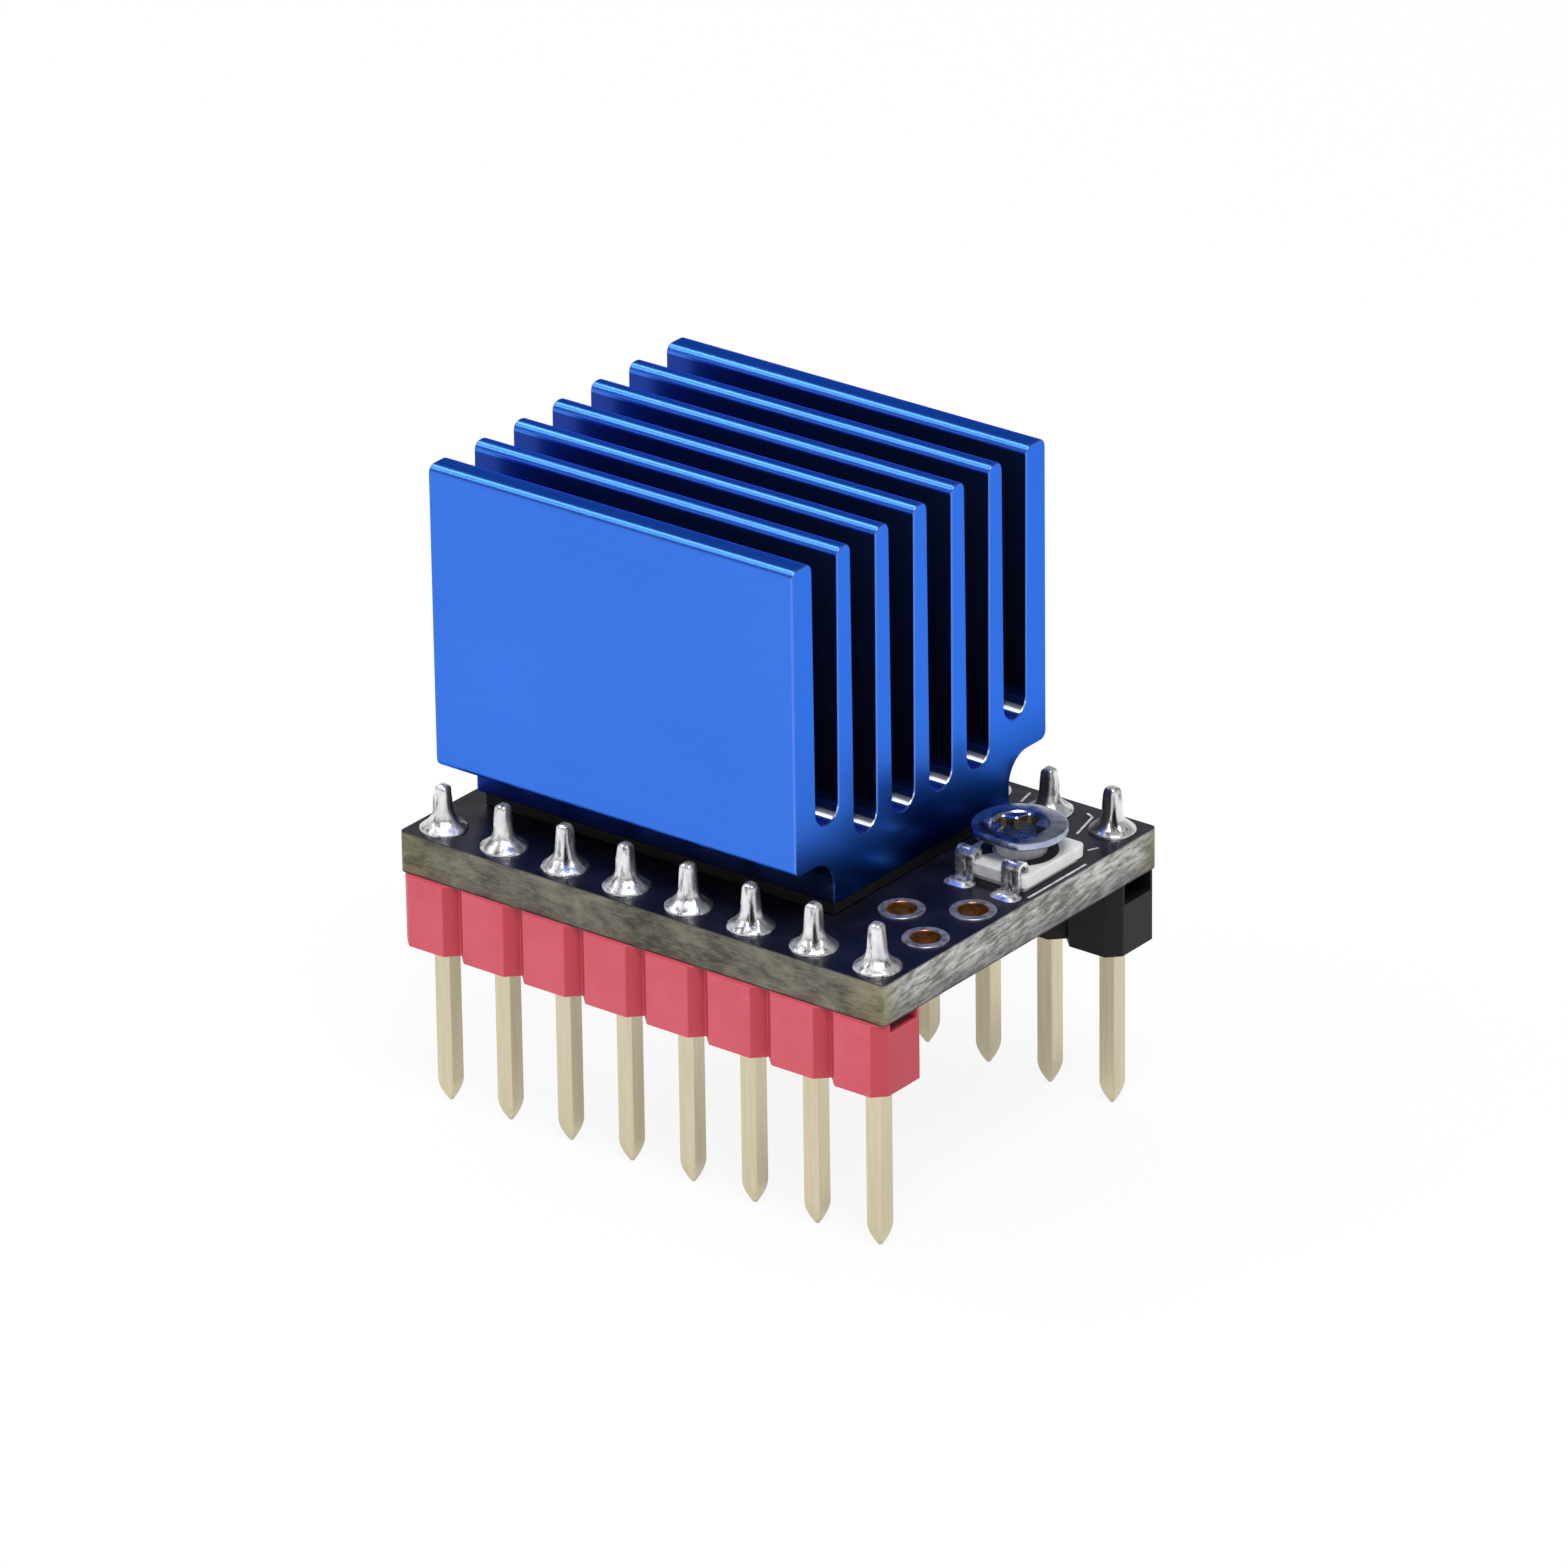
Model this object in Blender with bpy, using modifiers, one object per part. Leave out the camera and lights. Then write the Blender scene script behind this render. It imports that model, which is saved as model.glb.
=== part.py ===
# Plug-in stepper motor driver module: a drilled board on two pin headers, with a finned
# heatsink and a small trimmer on top and the driver chip underneath.
# X runs along the pin rows, Y from the front row to the rear row, Z up from the pin tips.

import math

import bmesh
import bpy
from mathutils import Matrix

MM = 0.001

# Fits
SEAT_GAP = 0.01 * MM           # between faces that rest on each other
PIN_CLEARANCE = 0.01 * MM      # round a pin in its housing and in its solder
RUNNING_CLEARANCE = 0.03 * MM  # round the trimmer's spindle and under its hub
WELD = 0.0001 * MM

# Flats round turned pieces and their holes, and steps along a pin's ends, a joint's side and a hook
JOINT_STEPS = 12
HOLE_STEPS = 16
ROTOR_STEPS = 32
STUB_STEPS = 3
POINT_STEPS = 5
HOLLOW_STEPS = 4
HOOK_STEPS = 6

# Pins
PIN_COUNT = 8
PIN_PITCH = 2.54 * MM
ROW_SPACING = 12.7 * MM
PIN_SIDE = 0.64 * MM
PIN_BELOW_HOUSING = 5.9 * MM
PIN_STUB = 0.62 * MM           # stands out of the solder
PIN_STUB_TAPER = 0.31 * MM
PIN_STUB_SIDE = 0.32 * MM      # blunt end of the stub
PIN_POINT_LENGTH = 0.8 * MM
PIN_POINT_SIDE = 0.12 * MM
PIN_POINT_CURVE = 1.8          # how late the point's sides draw in

# Header housings, a row of octagonal blocks
HOUSING_DEPTH = 2.5 * MM
HOUSING_HEIGHT = 2.54 * MM
HOUSING_CHAMFER = 0.43 * MM
HOUSING_END_TRIM = 0.24 * MM   # the end blocks are broken off short
FRONT_CHANNEL_DEPTH = 0.35 * MM  # open channel along the top, under the board
REAR_CHANNEL_DEPTH = 0.7 * MM
CHANNEL_WALL = 0.1 * MM        # beside the channel where two blocks meet

# Board
BOARD_THICKNESS = 1.45 * MM
BOARD_END_MARGIN = 1.03 * MM   # from the last pin to the end of the board
BOARD_SIDE_MARGIN = 1.05 * MM  # from a pin row to the side of the board
BOARD_CORNER_RADIUS = 0.15 * MM
PIN_HOLE_MARGIN = 0.06 * MM    # from a pin's corner to the wall of its hole

# Solder joints
SOLDER_LAND = 0.32 * MM        # from the hole to the outer edge of the joint
SOLDER_HEIGHT = 0.93 * MM
SOLDER_RIM = 0.06 * MM
SOLDER_SKIN = 0.05 * MM        # over the pin's corners at the top of the joint
SOLDER_HOLLOW = 2.2            # how sharply the joint's side curves in

# Plated holes
PLATED_BORE = 1.0 * MM
PLATED_RING = 0.29 * MM
PLATING = 0.05 * MM
PLATED_SINK_GAP = 0.5 * MM     # from the heatsink to the nearest ring

# Thermal pad
PAD_THICKNESS = 0.5 * MM
PAD_INSET = 0.2 * MM           # from the edge of the heatsink's foot

# Heatsink
FIN_COUNT = 7
FIN_THICKNESS = 0.72 * MM
OUTER_FIN_THICKNESS = 1.05 * MM
SLOT_WIDTH = 1.3 * MM
SLOT_TAPER = 0.06 * MM         # a slot is narrower by this on each side at its floor
SINK_HEIGHT = 12.35 * MM
SLOT_FLOOR = 1.95 * MM         # floor of the inner slots above the foot
OUTER_SLOT_STEP = 1.03 * MM    # the two outer slots are shallower
WING_UNDERSIDE = 1.85 * MM     # outer fins hang over the neck at this height
WING_RADIUS = 0.3 * MM
COVE_RADIUS = 1.0 * MM
FIN_TIP_RADIUS = 0.3 * MM
SINK_DEBURR = 0.05 * MM        # broken edges of the two sawn ends
NECK_SOLDER_GAP = 0.8 * MM     # from the neck to the solder joints if it stood midway
SINK_END_INSET = 0.82 * MM     # from the end of the board
SINK_OFFSET_Y = 0.34 * MM      # it sits a little towards the rear row
SINK_TRIMMER_GAP = 0.88 * MM

# Trimmer
TRIMMER_LENGTH = 2.9 * MM
TRIMMER_DEPTH = 3.3 * MM
TRIMMER_HEIGHT = 0.65 * MM
TRIMMER_FOOT_HEIGHT = 0.22 * MM
TRIMMER_FOOT_INSET = 0.2 * MM  # the base is undercut all round its foot
TRIMMER_CORNER_RADIUS = 0.22 * MM
TRIMMER_EDGE = 0.03 * MM
TRIMMER_EDGE_INSET = 0.3 * MM  # from the end of the board
TRIMMER_OFFSET_Y = 2.25 * MM
ROTOR_DIAMETER = 3.2 * MM
ROTOR_FLAT = 1.39 * MM         # from the axis to the flat on the disc's front edge
ROTOR_THICKNESS = 0.3 * MM
ROTOR_GAP = 0.63 * MM          # open space between base and disc
ROTOR_EDGE = 0.07 * MM
ROTOR_RIM = 0.6 * MM           # flat ring round the dish
ROTOR_DISH = 0.05 * MM
HUB_DIAMETER = 1.66 * MM
SPINDLE_DIAMETER = 0.9 * MM
CROSS_LENGTH = 1.76 * MM
CROSS_WIDTH = 0.64 * MM
CROSS_TIP_WIDTH = 0.56 * MM
CROSS_DEPTH = 0.2 * MM
CROSS_TIP_RADIUS = 0.14 * MM
CROSS_CORNER_RADIUS = 0.2 * MM
TERMINAL_WIDTH = 0.7 * MM
TERMINAL_THICKNESS = 0.14 * MM
TERMINAL_RISE = 0.45 * MM      # its hook stands this far above the base
TERMINAL_BEND = 0.2 * MM
TERMINAL_FOOT = 0.45 * MM
TERMINAL_SPACING = 1.85 * MM

# Parts on the underside of the board
CHIP_SIDE = 5.0 * MM
CHIP_HEIGHT = 0.9 * MM
CHIP_EDGE = 0.06 * MM
SENSE_LENGTH = 3.2 * MM
SENSE_WIDTH = 1.6 * MM
SENSE_HEIGHT = 0.6 * MM
SUPPLY_LENGTH = 2.0 * MM
SUPPLY_WIDTH = 1.25 * MM
SUPPLY_HEIGHT = 1.0 * MM
SMALL_LENGTH = 1.6 * MM
SMALL_WIDTH = 0.8 * MM
SMALL_HEIGHT = 0.75 * MM
REFERENCE_HEIGHT = 0.45 * MM   # in plan the same as the small capacitors
END_CAP = 0.35 * MM
END_CAP_PROUD = 0.03 * MM
PART_GAP = 0.7 * MM            # between the chip and the parts round it

# Heights and places that follow from the sizes above
HOUSING_TOP = PIN_BELOW_HOUSING + HOUSING_HEIGHT
BOARD_BOTTOM = HOUSING_TOP + SEAT_GAP
BOARD_TOP = BOARD_BOTTOM + BOARD_THICKNESS
SINK_BOTTOM = BOARD_TOP + PAD_THICKNESS + 2 * SEAT_GAP
PIN_TOP = BOARD_TOP + SOLDER_HEIGHT + PIN_STUB

ROW_LENGTH = (PIN_COUNT - 1) * PIN_PITCH
PIN_XS = [index * PIN_PITCH - ROW_LENGTH / 2 for index in range(PIN_COUNT)]
ROWS = {"front": -ROW_SPACING / 2, "rear": ROW_SPACING / 2}

BOARD_LENGTH = ROW_LENGTH + 2 * BOARD_END_MARGIN
BOARD_WIDTH = ROW_SPACING + 2 * BOARD_SIDE_MARGIN
PIN_CORNER = PIN_SIDE / math.sqrt(2)
PASSAGE_RADIUS = PIN_CORNER + PIN_CLEARANCE * math.sqrt(2)
PIN_HOLE_RADIUS = PIN_CORNER + PIN_HOLE_MARGIN
SOLDER_RADIUS = PIN_HOLE_RADIUS + SOLDER_LAND

TRIMMER_X = BOARD_LENGTH / 2 - TRIMMER_EDGE_INSET - TRIMMER_LENGTH / 2
TRIMMER_BOTTOM = BOARD_TOP + SEAT_GAP

INNER_FINS = FIN_COUNT - 2
SINK_WIDTH = INNER_FINS * FIN_THICKNESS + 2 * OUTER_FIN_THICKNESS + (FIN_COUNT - 1) * SLOT_WIDTH
NECK_WIDTH = ROW_SPACING - 2 * (SOLDER_RADIUS + NECK_SOLDER_GAP)
SINK_LEFT = SINK_END_INSET - BOARD_LENGTH / 2
SINK_RIGHT = TRIMMER_X - max(TRIMMER_LENGTH, ROTOR_DIAMETER) / 2 - SINK_TRIMMER_GAP
SINK_LENGTH = SINK_RIGHT - SINK_LEFT
SINK_X = (SINK_LEFT + SINK_RIGHT) / 2

# Two plated holes continue the last column of pins, and the third stands between them and the heatsink
PLATED_RADIUS = PLATED_BORE / 2 + PLATED_RING
PLATED_WALL_RADIUS = PLATED_BORE / 2 + PLATING
PLATED_PLACES = [
    (SINK_RIGHT + PLATED_SINK_GAP + PLATED_RADIUS, ROWS["front"] + 1.5 * PIN_PITCH),
    (PIN_XS[-1], ROWS["front"] + PIN_PITCH),
    (PIN_XS[-1], ROWS["front"] + 2 * PIN_PITCH),
]


# Scene and finishes

def clear_scene():
    for obj in list(bpy.data.objects):
        bpy.data.objects.remove(obj, do_unlink=True)


def new_collection(name):
    collection = bpy.data.collections.new(name)
    bpy.context.scene.collection.children.link(collection)
    return collection


def finish(name, colour, roughness, metallic=0.0):
    material = bpy.data.materials.new(name)
    material.use_nodes = True
    shader = material.node_tree.nodes["Principled BSDF"]
    shader.inputs["Base Color"].default_value = (*colour, 1.0)
    shader.inputs["Roughness"].default_value = roughness
    shader.inputs["Metallic"].default_value = metallic
    return material


def add_part(name, mesh, material, location, rotation=(0.0, 0.0, 0.0)):
    if not mesh.materials:
        mesh.materials.append(material)
    obj = bpy.data.objects.new(name, mesh)
    obj.location = location
    obj.rotation_euler = rotation
    parts.objects.link(obj)
    return obj


def add_cutter(name, mesh, location):
    obj = bpy.data.objects.new(name, mesh)
    obj.location = location
    obj.hide_render = True
    obj.display_type = "WIRE"
    cutters.objects.link(obj)
    return obj


def cut(obj, cutter):
    modifier = obj.modifiers.new("Cut", "BOOLEAN")
    modifier.operation = "DIFFERENCE"
    modifier.solver = "EXACT"
    modifier.object = cutter


def break_edges(obj, width, segments=1):
    modifier = obj.modifiers.new("Edges", "BEVEL")
    modifier.width = width
    modifier.segments = segments
    modifier.limit_method = "ANGLE"


# Shapes

def plain_mesh(obj):
    bpy.context.view_layer.update()
    depsgraph = bpy.context.evaluated_depsgraph_get()
    mesh = bpy.data.meshes.new_from_object(obj.evaluated_get(depsgraph))
    bpy.data.objects.remove(obj)
    return mesh


def close_seams(mesh):
    bm = bmesh.new()
    bm.from_mesh(mesh)
    bmesh.ops.remove_doubles(bm, verts=bm.verts, dist=WELD)
    bmesh.ops.recalc_face_normals(bm, faces=bm.faces)
    bm.to_mesh(mesh)
    bm.free()


def arc(centre, radius, start, end, steps):
    points = []
    for step in range(steps + 1):
        angle = math.radians(start + (end - start) * step / steps)
        points.append((centre[0] + radius * math.cos(angle), centre[1] + radius * math.sin(angle)))
    return points


def rectangle(width, height, radius):
    corner = (width / 2 - radius, height / 2 - radius)
    points = []
    for quarter, (sx, sy) in enumerate(((1, 1), (-1, 1), (-1, -1), (1, -1))):
        points += arc((sx * corner[0], sy * corner[1]), radius, 90 * quarter, 90 * quarter + 90, 2)
    return points


def flat_plate(outline, thickness, edge=0.0):
    # A plate on z = 0, drawn in millimetres because a filled outline is coarse at smaller sizes
    curve = bpy.data.curves.new("outline", "CURVE")
    curve.dimensions = "2D"
    curve.fill_mode = "BOTH"
    curve.extrude = (thickness / 2 - edge) / MM
    curve.bevel_depth = edge / MM
    curve.bevel_resolution = 0
    curve.offset = -edge / MM
    spline = curve.splines.new("POLY")
    spline.points.add(len(outline) - 1)
    for point, (x, y) in zip(spline.points, outline):
        point.co = (x / MM, y / MM, 0.0, 1.0)
    spline.use_cyclic_u = True
    drawing = bpy.data.objects.new("outline", curve)
    bpy.context.scene.collection.objects.link(drawing)
    mesh = plain_mesh(drawing)
    mesh.transform(Matrix.Translation((0.0, 0.0, thickness / 2)) @ Matrix.Scale(MM, 4))
    close_seams(mesh)
    return mesh


def turned(profile, steps, closed=False):
    # The profile is a list of (radius, height) down the outer side; a flat faces each axis
    bm = bmesh.new()
    verts = [bm.verts.new((radius, 0.0, height)) for radius, height in profile]
    for first, second in zip(verts, verts[1:]):
        bm.edges.new((first, second))
    if closed:
        bm.edges.new((verts[-1], verts[0]))
    mesh = bpy.data.meshes.new("profile")
    bm.to_mesh(mesh)
    bm.free()
    lathe = bpy.data.objects.new("profile", mesh)
    bpy.context.scene.collection.objects.link(lathe)
    screw = lathe.modifiers.new("Turn", "SCREW")
    screw.steps = steps
    screw.render_steps = steps
    screw.use_merge_vertices = True
    screw.merge_threshold = WELD
    mesh = plain_mesh(lathe)
    mesh.transform(Matrix.Rotation(math.pi / steps, 4, "Z"))
    close_seams(mesh)
    return mesh


def prisms(places, radius, steps, height, cornered=False):
    # Upright prisms in one mesh, with a flat facing each axis as on turned shapes, or a corner
    turn = 0.0 if cornered else math.pi / steps
    bm = bmesh.new()
    for x, y in places:
        place = Matrix.Translation((x, y, 0.0)) @ Matrix.Rotation(turn, 4, "Z")
        bmesh.ops.create_cone(bm, cap_ends=True, segments=steps, radius1=radius, radius2=radius,
                              depth=height, matrix=place)
    mesh = bpy.data.meshes.new("prisms")
    bm.to_mesh(mesh)
    bm.free()
    return mesh


def block(size):
    bm = bmesh.new()
    bmesh.ops.create_cube(bm, size=1.0)
    bmesh.ops.translate(bm, verts=bm.verts, vec=(0.0, 0.0, 0.5))
    bmesh.ops.scale(bm, verts=bm.verts, vec=size)
    mesh = bpy.data.meshes.new("block")
    bm.to_mesh(mesh)
    bm.free()
    return mesh


def round_shading(mesh):
    mesh.shade_smooth()
    mesh.set_sharp_from_angle(angle=math.radians(35))


# Board and what is soldered into it

def build_board():
    outline = rectangle(BOARD_LENGTH, BOARD_WIDTH, BOARD_CORNER_RADIUS)
    mesh = flat_plate(outline, BOARD_THICKNESS)
    laminate = finish("board_laminate", (0.012, 0.013, 0.03), 0.4)
    place = (0.0, 0.0, BOARD_BOTTOM)
    board = add_part("circuit_board", mesh, laminate, place)
    reach = 3 * BOARD_THICKNESS
    pin_places = [(x, y) for y in ROWS.values() for x in PIN_XS]
    pin_holes = prisms(pin_places, PIN_HOLE_RADIUS, JOINT_STEPS, reach)
    cut(board, add_cutter("pin_holes", pin_holes, place))
    plated_holes = prisms(PLATED_PLACES, PLATED_WALL_RADIUS + SEAT_GAP, HOLE_STEPS, reach)
    cut(board, add_cutter("plated_holes", plated_holes, place))


def build_housings():
    colours = {"front": (0.7, 0.1, 0.15), "rear": (0.02, 0.02, 0.022)}
    end = (ROW_LENGTH + PIN_PITCH) / 2 - HOUSING_END_TRIM
    joins = [-end] + [x + PIN_PITCH / 2 for x in PIN_XS[:-1]] + [end]
    notch_places = [(x, side * HOUSING_DEPTH / 2) for x in joins for side in (-1, 1)]
    pin_places = [(x, 0.0) for x in PIN_XS]
    depths = {"front": FRONT_CHANNEL_DEPTH, "rear": REAR_CHANNEL_DEPTH}
    channel_width = HOUSING_DEPTH - 2 * (HOUSING_CHAMFER + CHANNEL_WALL)
    reach = 3 * HOUSING_HEIGHT
    for row, y in ROWS.items():
        plastic = finish(f"header_plastic_{row}", colours[row], 0.45)
        place = (0.0, y, PIN_BELOW_HOUSING)
        mesh = block((2 * end, HOUSING_DEPTH, HOUSING_HEIGHT))
        housing = add_part(f"header_housing_{row}", mesh, plastic, place)
        notches = prisms(notch_places, HOUSING_CHAMFER, 4, reach, cornered=True)
        cut(housing, add_cutter(f"notches_{row}", notches, place))
        passages = prisms(pin_places, PASSAGE_RADIUS, 4, reach)
        cut(housing, add_cutter(f"pin_passages_{row}", passages, place))
        channel = block((4 * end, channel_width, 2 * depths[row]))
        cut(housing, add_cutter(f"channel_{row}", channel, (0.0, y, HOUSING_TOP - depths[row])))


def pin_profile():
    # Half sides of the square section, pointed at the lower end and blunt at the stub
    full = PIN_SIDE / 2
    stub = PIN_STUB_SIDE / 2
    point = PIN_POINT_SIDE / 2
    halves = [(0.0, PIN_TOP)]
    for x, y in arc((0.0, 0.0), 1.0, 90, 0, STUB_STEPS):
        halves.append((stub + (full - stub) * x, PIN_TOP - PIN_STUB_TAPER * (1 - y)))
    for step in range(POINT_STEPS + 1):
        down = step / POINT_STEPS
        halves.append((full - (full - point) * down ** PIN_POINT_CURVE, PIN_POINT_LENGTH * (1 - down)))
    halves.append((0.0, 0.0))
    return [(half * math.sqrt(2), height) for half, height in halves]


def build_pins():
    mesh = turned(pin_profile(), 4)
    brass = finish("pin_gold", (0.62, 0.55, 0.36), 0.3, 1.0)
    for row, y in ROWS.items():
        for number, x in enumerate(PIN_XS, 1):
            add_part(f"pin_{row}_{number}", mesh, brass, (x, y, 0.0))


def solder_profile():
    # A hollow-sided cone on the board, over a plug that fills the hole
    top = PIN_CORNER + SOLDER_SKIN
    profile = [(0.0, SOLDER_HEIGHT)]
    for step in range(HOLLOW_STEPS + 1):
        drop = step / HOLLOW_STEPS
        radius = top + (SOLDER_RADIUS - top) * drop ** SOLDER_HOLLOW
        profile.append((radius, SOLDER_HEIGHT - (SOLDER_HEIGHT - SOLDER_RIM) * drop))
    plug = PIN_HOLE_RADIUS - SEAT_GAP
    profile += [(SOLDER_RADIUS, SEAT_GAP), (plug, SEAT_GAP), (plug, -BOARD_THICKNESS)]
    profile.append((0.0, -BOARD_THICKNESS))
    return profile


def build_solder():
    passage = prisms([(0.0, 0.0)], PASSAGE_RADIUS, 4, 3 * (BOARD_THICKNESS + SOLDER_HEIGHT))
    passage = add_cutter("solder_passage", passage, (0.0, 0.0, 0.0))
    joint = bpy.data.objects.new("joint", turned(solder_profile(), JOINT_STEPS))
    bpy.context.scene.collection.objects.link(joint)
    cut(joint, passage)
    mesh = plain_mesh(joint)
    round_shading(mesh)
    tin = finish("solder_tin", (0.78, 0.78, 0.76), 0.22, 1.0)
    for row, y in ROWS.items():
        for number, x in enumerate(PIN_XS, 1):
            add_part(f"solder_{row}_{number}", mesh, tin, (x, y, BOARD_TOP))


def build_plated_holes():
    bore = PLATED_BORE / 2
    low = -BOARD_THICKNESS - SEAT_GAP
    profile = [
        (bore, SEAT_GAP + PLATING), (PLATED_RADIUS, SEAT_GAP + PLATING), (PLATED_RADIUS, SEAT_GAP),
        (PLATED_WALL_RADIUS, SEAT_GAP), (PLATED_WALL_RADIUS, low), (PLATED_RADIUS, low),
        (PLATED_RADIUS, low - PLATING), (bore, low - PLATING),
    ]
    mesh = turned(profile, HOLE_STEPS, closed=True)
    round_shading(mesh)
    plating = finish("hole_plating", (0.6, 0.55, 0.5), 0.35, 1.0)
    for number, (x, y) in enumerate(PLATED_PLACES, 1):
        add_part(f"plated_hole_{number}", mesh, plating, (x, y, BOARD_TOP))


# Heatsink on its pad

def heatsink_outline():
    # Section across the fins: foot at height 0, wings over a coved neck, fins with round slots
    half = SINK_WIDTH / 2
    neck = NECK_WIDTH / 2
    cove = min(COVE_RADIUS, half - neck - WING_RADIUS, WING_UNDERSIDE)
    tip = FIN_TIP_RADIUS
    side = [(neck, 0.0)]
    side += arc((neck + cove, WING_UNDERSIDE - cove), cove, 180, 90, 6)
    side += arc((half - WING_RADIUS, WING_UNDERSIDE + WING_RADIUS), WING_RADIUS, -90, 0, 4)
    fins = []
    right = half
    for fin in range(FIN_COUNT):
        outer = fin in (0, FIN_COUNT - 1)
        left = right - (OUTER_FIN_THICKNESS if outer else FIN_THICKNESS)
        fins += arc((right - tip, SINK_HEIGHT - tip), tip, 0, 90, 3)
        fins += arc((left + tip, SINK_HEIGHT - tip), tip, 90, 180, 3)
        right = left - SLOT_WIDTH
        if fin < FIN_COUNT - 1:
            shallow = fin in (0, FIN_COUNT - 2)
            floor = SLOT_FLOOR + (OUTER_SLOT_STEP if shallow else 0.0)
            radius = SLOT_WIDTH / 2 - SLOT_TAPER
            fins += arc((left - SLOT_WIDTH / 2, floor + radius), radius, 0, -180, 8)
    return side + fins + [(-y, z) for y, z in reversed(side)]


def build_heatsink():
    mesh = flat_plate(heatsink_outline(), SINK_LENGTH, edge=SINK_DEBURR)
    anodised = finish("anodised_blue", (0.03, 0.16, 0.75), 0.35, 0.7)
    upright = (math.radians(90), 0.0, math.radians(90))
    add_part("heatsink", mesh, anodised, (SINK_LEFT, SINK_OFFSET_Y, SINK_BOTTOM), upright)


def build_pad():
    size = (SINK_LENGTH - 2 * PAD_INSET, NECK_WIDTH - 2 * PAD_INSET, PAD_THICKNESS)
    rubber = finish("pad_grey", (0.05, 0.05, 0.055), 0.8)
    add_part("thermal_pad", block(size), rubber, (SINK_X, SINK_OFFSET_Y, BOARD_TOP + SEAT_GAP))


# Trimmer, with its rotor at the middle of its turn

def build_trimmer_base():
    outline = rectangle(TRIMMER_LENGTH, TRIMMER_DEPTH, TRIMMER_CORNER_RADIUS)
    mesh = flat_plate(outline, TRIMMER_HEIGHT, edge=TRIMMER_EDGE)
    ceramic = finish("trimmer_ceramic", (0.55, 0.55, 0.54), 0.5)
    place = (TRIMMER_X, TRIMMER_OFFSET_Y, TRIMMER_BOTTOM)
    base = add_part("trimmer_base", mesh, ceramic, place)
    bore = prisms([(0.0, 0.0)], SPINDLE_DIAMETER / 2 + RUNNING_CLEARANCE, ROTOR_STEPS, 3 * TRIMMER_HEIGHT)
    cut(base, add_cutter("spindle_bore", bore, place))
    reach = 2 * max(TRIMMER_LENGTH, TRIMMER_DEPTH)
    across = block((2 * TRIMMER_FOOT_INSET, reach, 2 * TRIMMER_FOOT_HEIGHT))
    along = block((reach, 2 * TRIMMER_FOOT_INSET, 2 * TRIMMER_FOOT_HEIGHT))
    low = TRIMMER_BOTTOM - TRIMMER_FOOT_HEIGHT
    for side in (-1, 1):
        end = (TRIMMER_X + side * TRIMMER_LENGTH / 2, TRIMMER_OFFSET_Y, low)
        cut(base, add_cutter(f"undercut_x_{side}", across, end))
        flank = (TRIMMER_X, TRIMMER_OFFSET_Y + side * TRIMMER_DEPTH / 2, low)
        cut(base, add_cutter(f"undercut_y_{side}", along, flank))


def cross_outline():
    # Arms narrow a little towards their tips
    reach = CROSS_LENGTH / 2 - CROSS_TIP_RADIUS
    tip = CROSS_TIP_WIDTH / 2 - CROSS_TIP_RADIUS
    inner = CROSS_WIDTH / 2 + CROSS_CORNER_RADIUS
    quarter = arc((reach, tip), CROSS_TIP_RADIUS, 0, 90, 2)
    quarter += arc((inner, inner), CROSS_CORNER_RADIUS, 270, 180, 3)
    quarter += arc((tip, reach), CROSS_TIP_RADIUS, 0, 90, 2)
    points = []
    for _ in range(4):
        points += quarter
        quarter = [(-y, x) for x, y in quarter]
    return points


def build_rotor():
    # Heights are above the underside of the base
    radius = ROTOR_DIAMETER / 2
    hub_low = TRIMMER_HEIGHT + RUNNING_CLEARANCE
    disc_low = TRIMMER_HEIGHT + ROTOR_GAP
    disc_top = disc_low + ROTOR_THICKNESS
    dish = disc_top - ROTOR_DISH
    rim = radius - ROTOR_RIM
    profile = [
        (0.0, dish), (rim - ROTOR_DISH, dish), (rim, disc_top), (radius - ROTOR_EDGE, disc_top),
        (radius, disc_top - ROTOR_EDGE), (radius, disc_low + ROTOR_EDGE), (radius - ROTOR_EDGE, disc_low),
        (HUB_DIAMETER / 2, disc_low), (HUB_DIAMETER / 2, hub_low), (SPINDLE_DIAMETER / 2, hub_low),
        (SPINDLE_DIAMETER / 2, RUNNING_CLEARANCE), (0.0, RUNNING_CLEARANCE),
    ]
    mesh = turned(profile, ROTOR_STEPS)
    round_shading(mesh)
    place = (TRIMMER_X, TRIMMER_OFFSET_Y, TRIMMER_BOTTOM)
    metal = finish("rotor_metal", (0.55, 0.57, 0.6), 0.25, 1.0)
    rotor = add_part("trimmer_rotor", mesh, metal, place)
    recess = flat_plate(cross_outline(), 2 * CROSS_DEPTH)
    recess.transform(Matrix.Translation((0.0, 0.0, dish - CROSS_DEPTH)))
    cut(rotor, add_cutter("cross_recess", recess, place))
    waste = block((2 * ROTOR_DIAMETER, ROTOR_DIAMETER, 2 * disc_top))
    flat = (TRIMMER_X, TRIMMER_OFFSET_Y - ROTOR_FLAT - ROTOR_DIAMETER / 2, TRIMMER_BOTTOM)
    cut(rotor, add_cutter("rotor_flat", waste, flat))


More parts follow.
